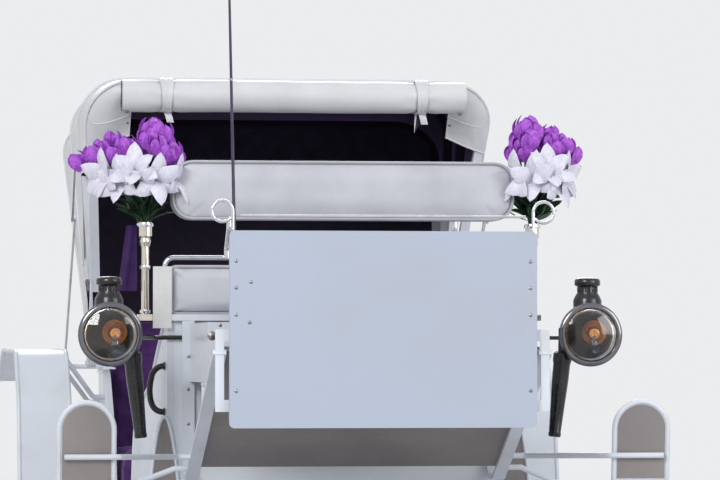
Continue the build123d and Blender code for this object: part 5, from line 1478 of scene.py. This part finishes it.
SPRINGS = [
    # node, body, half distance apart, y from the king pin, lower pad, upper pad, half length
    ("front_springs", "fore_carriage", 0.360, 0.0, 0.482, 0.770, 0.400),
    ("rear_springs", "root", 0.450, 2.0, 0.582, 0.802, 0.325),
]
LEAVES, LEAF_STEP, LEAF_WIDTH, LEAF_THICKNESS = 4, 0.0062, 0.045, 0.0052
LEAF_SHORTER, LEAF_BEND, LEAF_INSET, TIP_INSET = 0.23, 0.78, 0.003, 0.004
CLIP_HALF_WIDTH, CLIP_HALF_LENGTH, CLIP_HEIGHT = 0.028, 0.020, 0.030
EYE_HALF_WIDTH, EYE_RADIUS = 0.0275, 0.0138


class BuildSprings(bpy.types.Operator):
    """Stack the leaves of the four elliptic springs"""

    bl_idname = "carriage.build_springs"
    bl_label = "Springs"

    def execute(self, context):
        for name, body, half_x, y, low, high, reach in SPRINGS:
            parts = []
            for x in (half_x, -half_x):
                centre = Vector((x, KING_Y + y, (low + high) / 2))
                for foot, sign in ((low, 1), (high, -1)):
                    parts += [self.leaf(centre, foot, sign, reach, index) for index in range(LEAVES)]
                    parts.append(self.clip(centre, foot, foot + sign * CLIP_HEIGHT))
                parts += [self.eye(centre + Vector((0, end, 0))) for end in (-reach, reach)]
            done(joined(name + "_leaves", parts), body, "white_iron", "iron", [name])
        return {"FINISHED"}

    def leaf(self, centre, foot, sign, reach, index):
        """One leaf, shorter the further in it lies."""
        share = 1 - LEAF_SHORTER * index
        rise = centre.z - foot - sign * TIP_INSET
        lift = foot + sign * (LEAF_INSET + LEAF_STEP * index)

        def place(across, along):
            t = (along - 0.5) * 2 * share
            bend = (1 - math.sqrt(max(0.0, 1 - (t * LEAF_BEND) ** 2))) / (1 - math.sqrt(1 - LEAF_BEND ** 2))
            return Vector((centre.x + (across - 0.5) * LEAF_WIDTH, centre.y + t * reach, lift + rise * bend))
        return thickened(start_grid("leaf", 1, 24, place), LEAF_THICKNESS)

    def clip(self, centre, foot, top):
        """The clip that holds the leaves to their pad."""
        half = Vector((CLIP_HALF_WIDTH, CLIP_HALF_LENGTH, 0))
        low = Vector((centre.x, centre.y, min(foot, top))) - half
        high = Vector((centre.x, centre.y, max(foot, top))) + half
        return bevelled(start_box("clip", low, high), 0.003, 2)

    def eye(self, spot):
        """The rolled eye where two half springs meet."""
        half = Vector((EYE_HALF_WIDTH, 0, 0))
        return bevelled(start_drum("eye", spot - half, spot + half, EYE_RADIUS, sides=20), 0.002, 1)


# Fittings

SCREW_PROFILE = [(0, 0.5), (0.55, 0.38), (1.0, 0.05), (1.0, -0.1)]
SCREW, BAR_SCREW, SCREW_CAP = 0.0055, 0.005, 0.013
DASH_SCREWS = [
    (-0.402, 1.568), (-0.402, 1.495), (-0.362, 1.583), (-0.366, 1.474), (0.402, 1.568), (0.402, 1.495),
    (-0.402, 1.290), (0.402, 1.290), (-0.402, 1.640), (0.402, 1.640)]
BOX_SCREWS = [(0.428, 1.440, SCREW_CAP), (0.405, 1.470, SCREW)]
BAR_FRONT, BAR_X, BAR_SCREWS_Z = BODY_FRONT - 0.0143, 0.445, (1.382, 1.288, 1.188)


class BuildScrews(bpy.types.Operator):
    """Drive round-headed screws into the dash, the driver's box and the side bars"""

    bl_idname = "carriage.build_screws"
    bl_label = "Screws"

    def execute(self, context):
        dash_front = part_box("dash_board")[0].y
        box_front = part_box("driver_seat_box")[0].y
        spots = [(x, dash_front, z, SCREW) for x, z in DASH_SCREWS]
        for sign in (1, -1):
            spots += [(sign * x, box_front, z, size) for x, z, size in BOX_SCREWS]
            spots += [(sign * BAR_X, BAR_FRONT, z, BAR_SCREW) for z in BAR_SCREWS_Z]
        head = turned("head", SCREW_PROFILE, ORIGIN, FORWARDS, 12)
        places = [Matrix.Translation((x, y, z)) @ Matrix.Scale(size, 4) for x, y, z, size in spots]
        done(copies("screws", head, places), "root", "chrome", "steel")
        return {"FINISHED"}


SIDE_MIDDLE, SIDE_REACH = 1.36, 1.06
SIDE_HALF_WIDTH, SIDE_TAPER, SIDE_BOW, BEAD_OUT = 0.5185, 0.0135, 0.0435, 0.0005
SIDE_BEAD_RADIUS, BEAD_STEP = 0.0062, 0.05
TOP_BEAD = [
    # along the body from the king pin, height, radius of the bend
    (0.345, 1.478, 0.03), (0.560, 1.302, 0.26), (0.860, 1.207, 0.19), (1.000, 0.652, 0.15),
    (1.420, 0.652, 0.15), (1.560, 1.112, 0.19), (1.830, 1.332, 0.20), (2.405, 1.332, 0.0),
]
FOOT_BEAD = [
    (0.320, 0.960, 0.0), (0.922, 0.960, 0.03), (0.942, 0.580, 0.07), (1.515, 0.580, 0.12),
    (1.655, 0.848, 0.16), (2.195, 0.858, 0.0),
]


class BuildSideBeads(bpy.types.Operator):
    """Lay a half-round bead along the top and the foot of each side panel"""

    bl_idname = "carriage.build_side_beads"
    bl_label = "Side beads"

    def execute(self, context):
        for side, sign in (("left", 1), ("right", -1)):
            parts = []
            for run in (TOP_BEAD, FOOT_BEAD):
                line = rounded([(0, y, z) for y, z, _ in run], [radius for _, _, radius in run[1:-1]], 0.12)
                line = [self.on_side(point, sign) for point in self.divided(line)]
                parts.append(start_line("bead", line, radius=SIDE_BEAD_RADIUS))
            done(joined("side_beads_" + side, parts), "root", "white_paint", "coach", angle=60)
        return {"FINISHED"}

    def on_side(self, point, sign):
        """A point of the side's outline, moved out onto the bowed panel."""
        along = (point.y - SIDE_MIDDLE) / SIDE_REACH
        half_width = SIDE_HALF_WIDTH + along * SIDE_TAPER + SIDE_BOW * (1 - along * along)
        return mirrored((half_width + BEAD_OUT, KING_Y + point.y, point.z), sign)

    def divided(self, line):
        """A line with no run longer than a step."""
        made = [line[0]]
        for start, end in zip(line, line[1:]):
            count = max(1, math.ceil((end - start).length / BEAD_STEP))
            made += [start.lerp(end, (k + 1) / count) for k in range(count)]
        return made


STEP_RIBS, STEP_RIB_X, STEP_RIB_SPACING, STEP_RIB_HALF = 9, 0.704, 0.018, 0.004
STEP_RIB_Y, STEP_RIB_Z = (KING_Y + 0.972, KING_Y + 1.308), (0.401, 0.4055)
FLOOR_RIBS, FLOOR_RIB_SPACING, FLOOR_RIB_HALF, FLOOR_RIB_HEIGHT = 21, 0.05, 0.006, 0.004


class BuildTreads(bpy.types.Operator):
    """Rib the steps and the floor mat"""

    bl_idname = "carriage.build_treads"
    bl_label = "Treads"

    def execute(self, context):
        ribs = []
        for sign in (1, -1):
            for index in range(STEP_RIBS):
                x = sign * (STEP_RIB_X + index * STEP_RIB_SPACING)
                ribs.append(self.rib(x, STEP_RIB_HALF, STEP_RIB_Y, STEP_RIB_Z))
        low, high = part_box("floor_pan")
        for index in range(FLOOR_RIBS):
            x = (index - (FLOOR_RIBS - 1) / 2) * FLOOR_RIB_SPACING
            ribs.append(self.rib(x, FLOOR_RIB_HALF, (low.y + 0.03, high.y - 0.05),
                                 (high.z, high.z + FLOOR_RIB_HEIGHT)))
        done(bevelled(joined("tread_ribs", ribs), 0.0012, 1), "root", "floor_mat", "mat")
        return {"FINISHED"}

    def rib(self, x, half, y, z):
        """One rib that runs from front to back."""
        return start_box("rib", (x - half, y[0], z[0]), (x + half, y[1], z[1]))


COLLARS = [
    # height, radius of the tube or cup inside it
    (1.512, 0.0125), (1.640, 0.0125), (1.712, 0.0125), (1.762, 0.0215),
]
COLLAR_PROFILE = [
    # out from that radius, distance along the axis
    (-0.003, -0.006), (0.002, -0.005), (0.003, 0), (0.002, 0.005), (-0.003, 0.006),
]


class BuildHolderCollars(bpy.types.Operator):
    """Turn the collars of the two flower holders"""

    bl_idname = "carriage.build_holder_collars"
    bl_label = "Holder collars"

    def execute(self, context):
        rings = []
        for sign in (1, -1):
            for z, radius in COLLARS:
                profile = [(radius + out, along) for out, along in COLLAR_PROFILE]
                rings.append(turned("collar", profile, mirrored((HOLDER_X, HOLDER_Y, z), sign), UPWARDS, 28))
        done(joined("holder_collars", rings), "root", "chrome", "chrome")
        return {"FINISHED"}


WHIP_LEAN = Vector((-0.022, 0.0, 1.0)).normalized()
WHIP_BUTT = [(0, 0), (0.0085, 0.001), (0.0085, 0.010)]
WHIP_TAPER = [(0.0048, 0.272), (0.0042, 0.500), (0.0034, 0.900), (0.0026, 1.250)]
WHIP_TIP_RADIUS, WHIP_TIP_INSET = 0.0018, 0.002
BRAID_TURNS, BRAID_FOOT, BRAID_STEP = 42, 0.014, 0.006
BRAID_RADIUS, BRAID_SWELL = 0.0072, 0.0006
FERRULE_IN, FERRULE_OUT = 0.001, 0.0012
FERRULES = [
    # distance along the whip, radius, half length
    (0.266, 0.0062, 0.005), (0.690, 0.0038, 0.003),
]


class BuildWhip(bpy.types.Operator):
    """Taper the slim whip from the wrapped grip in its socket"""

    bl_idname = "carriage.build_whip"
    bl_label = "Whip"

    def execute(self, context):
        centre = middle("whip")
        low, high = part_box("whip")
        foot = Vector((centre.x, centre.y, low.z))
        length = (high.z - low.z) / WHIP_LEAN.z - WHIP_TIP_INSET
        braid = [(BRAID_RADIUS + BRAID_SWELL * (k % 2), BRAID_FOOT + BRAID_STEP * k)
                 for k in range(BRAID_TURNS)]
        tip = [(WHIP_TIP_RADIUS, length), (0, length)]
        stock = turned("whip_stock", WHIP_BUTT + braid + WHIP_TAPER + tip, foot, WHIP_LEAN, 14)
        done(stock, "root", "dark_plastic", "whip", ["whip"])
        ferrules = []
        for at, radius, half in FERRULES:
            inner, outer = radius - FERRULE_IN, radius + FERRULE_OUT
            profile = [(inner, -half), (outer, -half), (outer, half), (inner, half)]
            ferrules.append(turned("ferrule", profile, foot + WHIP_LEAN * at, WHIP_LEAN, 16))
        done(joined("whip_ferrules", ferrules), "root", "chrome", "steel")
        return {"FINISHED"}


ARCH_RUNS = 24
FENDER_ARCH = (0.778, KING_Y - 0.2292, 1.181)
FENDER_ARCH_HALF, FENDER_ARCH_LEG = 0.0675, 0.140
FENDER_ARCH_UP = Vector((0, -0.020, 0.191)).normalized()
CORNER_ARCH = (0.513, BODY_FRONT - 0.004, 0.975)
CORNER_ARCH_HALF, CORNER_ARCH_HEIGHT, CORNER_RIM_RADIUS = 0.044, 0.233, 0.0052
FENDER_FACING_DEPTH, CORNER_FACING_DEPTH = 0.0014, 0.006


class BuildFacings(bpy.types.Operator):
    """Face the front fenders' ends and the arched front corners of the body with dark grey sheets of painted
    shade, which on the fender ends is partly their own darker colour.
    """

    bl_idname = "carriage.build_facings"
    bl_label = "Facings"

    def execute(self, context):
        faces, rims = [], []
        for sign in (1, -1):
            faces.append(start_plate("facing", self.fender_arch(sign), FENDER_FACING_DEPTH))
            arch = self.corner_arch(sign)
            faces.append(start_plate("facing", arch, CORNER_FACING_DEPTH))
            rims.append(start_line("rim", arch + [arch[0]], radius=CORNER_RIM_RADIUS))
        done(joined("corner_rims", rims), "root", "white_iron", "iron", angle=60)
        done(joined("dull_facings", faces), "root", "white_iron", "painted_shade_grey")
        return {"FINISHED"}

    def fender_arch(self, sign):
        """The round-topped outline of a front fender's end, on its sloping face."""
        centre = mirrored(FENDER_ARCH, sign)
        arch = []
        for index in range(ARCH_RUNS + 1):
            angle = math.pi * index / ARCH_RUNS
            side = Vector((FENDER_ARCH_HALF * math.cos(angle), 0, 0))
            arch.append(centre + side + FENDER_ARCH_UP * FENDER_ARCH_HALF * math.sin(angle))
        half, leg = Vector((FENDER_ARCH_HALF, 0, 0)), FENDER_ARCH_UP * FENDER_ARCH_LEG
        return arch + [centre - half - leg, centre + half - leg]

    def corner_arch(self, sign):
        """The pointed outline of an arch at the body's front corner."""
        centre = mirrored(CORNER_ARCH, sign)
        arch = []
        for index in range(ARCH_RUNS + 1):
            across = 1 - 2 * index / ARCH_RUNS
            rise = CORNER_ARCH_HEIGHT * (1 - abs(across) ** 2.1)
            arch.append(centre + Vector((CORNER_ARCH_HALF * across, 0, rise)))
        return arch


RAIL_Z, RAIL_HALF, RAIL_RADIUS = 1.762, 0.390, 0.0040
TIP_RISE = Vector((0, 0, 0.004))
RING_RADIUS, RING_BAR_RADIUS, RING_RUNS = 0.0285, 0.0044, 32
RING_TURN = math.radians(318)
RING_MARGIN = 0.0045
TIP_PROFILE = [(0, -0.005), (0.0046, -0.002), (0.0046, 0.002), (0, 0.005)]


class BuildDashRail(bpy.types.Operator):
    """Bend the thin bright rail over the dash, whose ends curl into rings"""

    bl_idname = "carriage.build_dash_rail"
    bl_label = "Dash rail"

    def execute(self, context):
        low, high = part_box("dash_rail")
        y = (low.y + high.y) / 2
        parts = [start_line("rail", [(-RAIL_HALF, y, RAIL_Z), (RAIL_HALF, y, RAIL_Z)], radius=RAIL_RADIUS,
                            resolution=3)]
        for sign in (1, -1):
            inset = RING_MARGIN + RING_RADIUS
            centre = mirrored((high.x - inset, y, high.z - inset), sign)
            line = [Vector((centre.x - sign * RING_RADIUS, y, low.z))]
            for step in range(RING_RUNS + 1):
                angle = math.pi - RING_TURN * step / RING_RUNS
                line.append(centre + Vector((sign * math.cos(angle), 0, math.sin(angle))) * RING_RADIUS)
            parts.append(start_line("ring", line, radius=RING_BAR_RADIUS, resolution=3))
            for spot in (line[0] + TIP_RISE, line[-1]):
                parts.append(turned("tip", TIP_PROFILE, spot, UPWARDS, 12))
        done(joined("dash_rail_rings", parts), "root", "chrome", "chrome", ["dash_rail"], 60)
        return {"FINISHED"}


HANDLE_BAR_RADIUS = 0.0088
HANDLE_FOOT_RADIUS, HANDLE_FOOT_TOP_RADIUS, HANDLE_FOOT_DEPTH = 0.0135, 0.011, 0.004
HANDLE_CURVE = [
    # in from the outer edge of the node's box, height, radius of the bend
    (0.0532, 1.355, 0), (0.036, 1.3545, 0.03), (0.018, 1.336, 0.03), (0.0115, 1.306, 0.06),
    (0.0095, 1.282, 0.08), (0.0125, 1.256, 0.06), (0.020, 1.234, 0.03), (0.038, 1.2225, 0.03),
    (0.0532, 1.222, 0),
]


class BuildGrabHandles(bpy.types.Operator):
    """Bend the two grab handles and set each on its two feet"""

    bl_idname = "carriage.build_grab_handles"
    bl_label = "Grab handles"

    def execute(self, context):
        low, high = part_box("grab_handles")
        y = (low.y + high.y) / 2
        parts = []
        for sign in (1, -1):
            points = [(-sign * (low.x + inset), y, z) for inset, z, _ in HANDLE_CURVE]
            line = rounded(points, [radius for _, _, radius in HANDLE_CURVE[1:-1]])
            parts.append(start_line("handle", line, radius=HANDLE_BAR_RADIUS, resolution=4))
            for spot in (line[0], line[-1]):
                top = spot + Vector((sign * HANDLE_FOOT_DEPTH, 0, 0))
                parts.append(start_drum("foot", spot, top, HANDLE_FOOT_RADIUS, HANDLE_FOOT_TOP_RADIUS, 20))
        done(joined("handle_grips", parts), "root", "black_enamel", "black", ["grab_handles"], 60)
        return {"FINISHED"}


# Stage

BACKDROP = 0.86
BACKDROP_TINT = (0.97, 0.98, 1.0)
SKY_LIGHT = 0.55
FLOOR_RADIUS = 60
FLOOR_FADE = (2.5, 13.0)
LIGHTS = [
    # name, place, aim, size in metres, power in watts
    ("key", (-5.5, -8.0, 6.5), (0, 0, 1.2), 4.0, 620),
    ("fill", (6.5, -6.0, 4.0), (0, 0, 1.2), 5.0, 300),
    ("back", (1.0, 8.0, 6.0), (0, 1.0, 1.5), 5.0, 380),
]
CAMERA_PLACE = (-1.684, -11.906, 1.389)
CAMERA_PITCH, CAMERA_YAW = 1.551, -8.167
CAMERA_LENS, CAMERA_SENSOR = 210.94, 36


def seen(tree):
    """1 for what the camera, mirrors and glass see, 0 for the light that falls on things."""
    path = node(tree, "LightPath").outputs
    show = sums(tree, "MAXIMUM", path["Is Camera Ray"], path["Is Glossy Ray"])
    return sums(tree, "MAXIMUM", show, path["Is Transmission Ray"])


class BuildStage(bpy.types.Operator):
    """Set the floor, the lights and the camera"""

    bl_idname = "carriage.build_stage"
    bl_label = "Stage"

    def execute(self, context):
        scene = context.scene
        scene.view_settings.view_transform = "Standard"
        clear()
        bpy.ops.mesh.primitive_circle_add(vertices=64, radius=FLOOR_RADIUS, fill_type="NGON")
        floor = started("floor")
        floor.data.materials.append(self.floor_material())
        self.world(scene)
        for name, place, aim, size, power in LIGHTS:
            light = bpy.data.lights.new(name, "AREA")
            light.size = size
            light.energy = power
            turn = (Vector(aim) - Vector(place)).to_track_quat("-Z", "Y").to_euler()
            self.add(scene, name, light, place, turn)
        self.camera(scene)
        return {"FINISHED"}

    def add(self, scene, name, data, place, turn):
        """Puts a light or the camera in its place."""
        obj = bpy.data.objects.new(name, data)
        scene.collection.objects.link(obj)
        obj.location = place
        obj.rotation_euler = turn
        return obj

    def camera(self, scene):
        """A long lens at eye height, ahead of the carriage and a little to its right."""
        camera = bpy.data.cameras.new("camera")
        camera.lens = CAMERA_LENS
        camera.sensor_width = CAMERA_SENSOR
        camera.sensor_fit = "HORIZONTAL"
        camera.clip_end = 200
        turn = (math.radians(90 + CAMERA_PITCH), 0, math.radians(CAMERA_YAW))
        scene.camera = self.add(scene, "camera", camera, CAMERA_PLACE, turn)

    def floor_material(self):
        """A pale floor that runs out into the shade of the backdrop."""
        material, tree, shader, place = blank("Studio floor")
        near = mixed(tree, clouds(tree, place, 0.8, 5.0), (0.64, 0.64, 0.65, 1), (0.68, 0.68, 0.69, 1))
        reach = node(tree, "VectorMath", {0: place}, operation="LENGTH").outputs["Value"]
        fade = node(tree, "MapRange", {"Value": reach, "From Min": FLOOR_FADE[0], "From Max": FLOOR_FADE[1]},
                    interpolation_type="SMOOTHERSTEP").outputs[0]
        far = sums(tree, "MULTIPLY", fade, seen(tree))
        black, backdrop = (0, 0, 0, 1), rgba([value * BACKDROP for value in BACKDROP_TINT])
        fed(tree, shader, {
            "Base Color": mixed(tree, far, near, black), "Roughness": 0.85, "Specular IOR Level": 0.0,
            "Emission Color": mixed(tree, far, black, backdrop), "Emission Strength": 1.0})
        return material

    def world(self, scene):
        """An even sky that shows as the backdrop."""
        world = bpy.data.worlds.new("studio")
        scene.world = world
        world.use_nodes = True
        tree = world.node_tree
        strength = ramp(tree, seen(tree), 0, 1, SKY_LIGHT, BACKDROP)
        fed(tree, tree.nodes["Background"], {"Color": rgba(BACKDROP_TINT), "Strength": strength})


class CarriagePanel(bpy.types.Panel):
    """Lists the carriage's pieces and sizes"""

    bl_label = "Carriage"
    bl_idname = "VIEW3D_PT_carriage"
    bl_space_type = "VIEW_3D"
    bl_region_type = "UI"
    bl_category = "Carriage"

    def draw(self, context):
        for operator in OPERATORS:
            self.layout.operator(operator.bl_idname)
        for values in (sizes(), colours()):
            for key in values.bl_rna.properties.keys():
                if key not in ("rna_type", "name"):
                    self.layout.prop(values, key)


OPERATORS = [
    PaintFrame, BuildHood, BuildCurtainRoll, BuildDriverSeat, BuildPassengerSeats, BuildFlowers, BuildLamps,
    BuildWheels, BuildSprings, BuildScrews, BuildSideBeads, BuildTreads, BuildHolderCollars, BuildWhip,
    BuildFacings, BuildDashRail, BuildGrabHandles, BuildStage,
]
CLASSES = [CarriageSizes, CarriageColours, *OPERATORS, CarriagePanel]


def register():
    for kind in CLASSES:
        bpy.utils.register_class(kind)
    bpy.types.Scene.carriage_sizes = bpy.props.PointerProperty(type=CarriageSizes)
    bpy.types.Scene.carriage_colours = bpy.props.PointerProperty(type=CarriageColours)


def unregister():
    del bpy.types.Scene.carriage_colours
    del bpy.types.Scene.carriage_sizes
    for kind in reversed(CLASSES):
        bpy.utils.unregister_class(kind)


def main():
    """Builds every piece."""
    register()
    for operator in OPERATORS:
        area, name = operator.bl_idname.split(".")
        if getattr(getattr(bpy.ops, area), name)() != {"FINISHED"}:
            raise RuntimeError(operator.bl_label + " did not finish")
    clear()


if __name__ == "__main__":
    main()
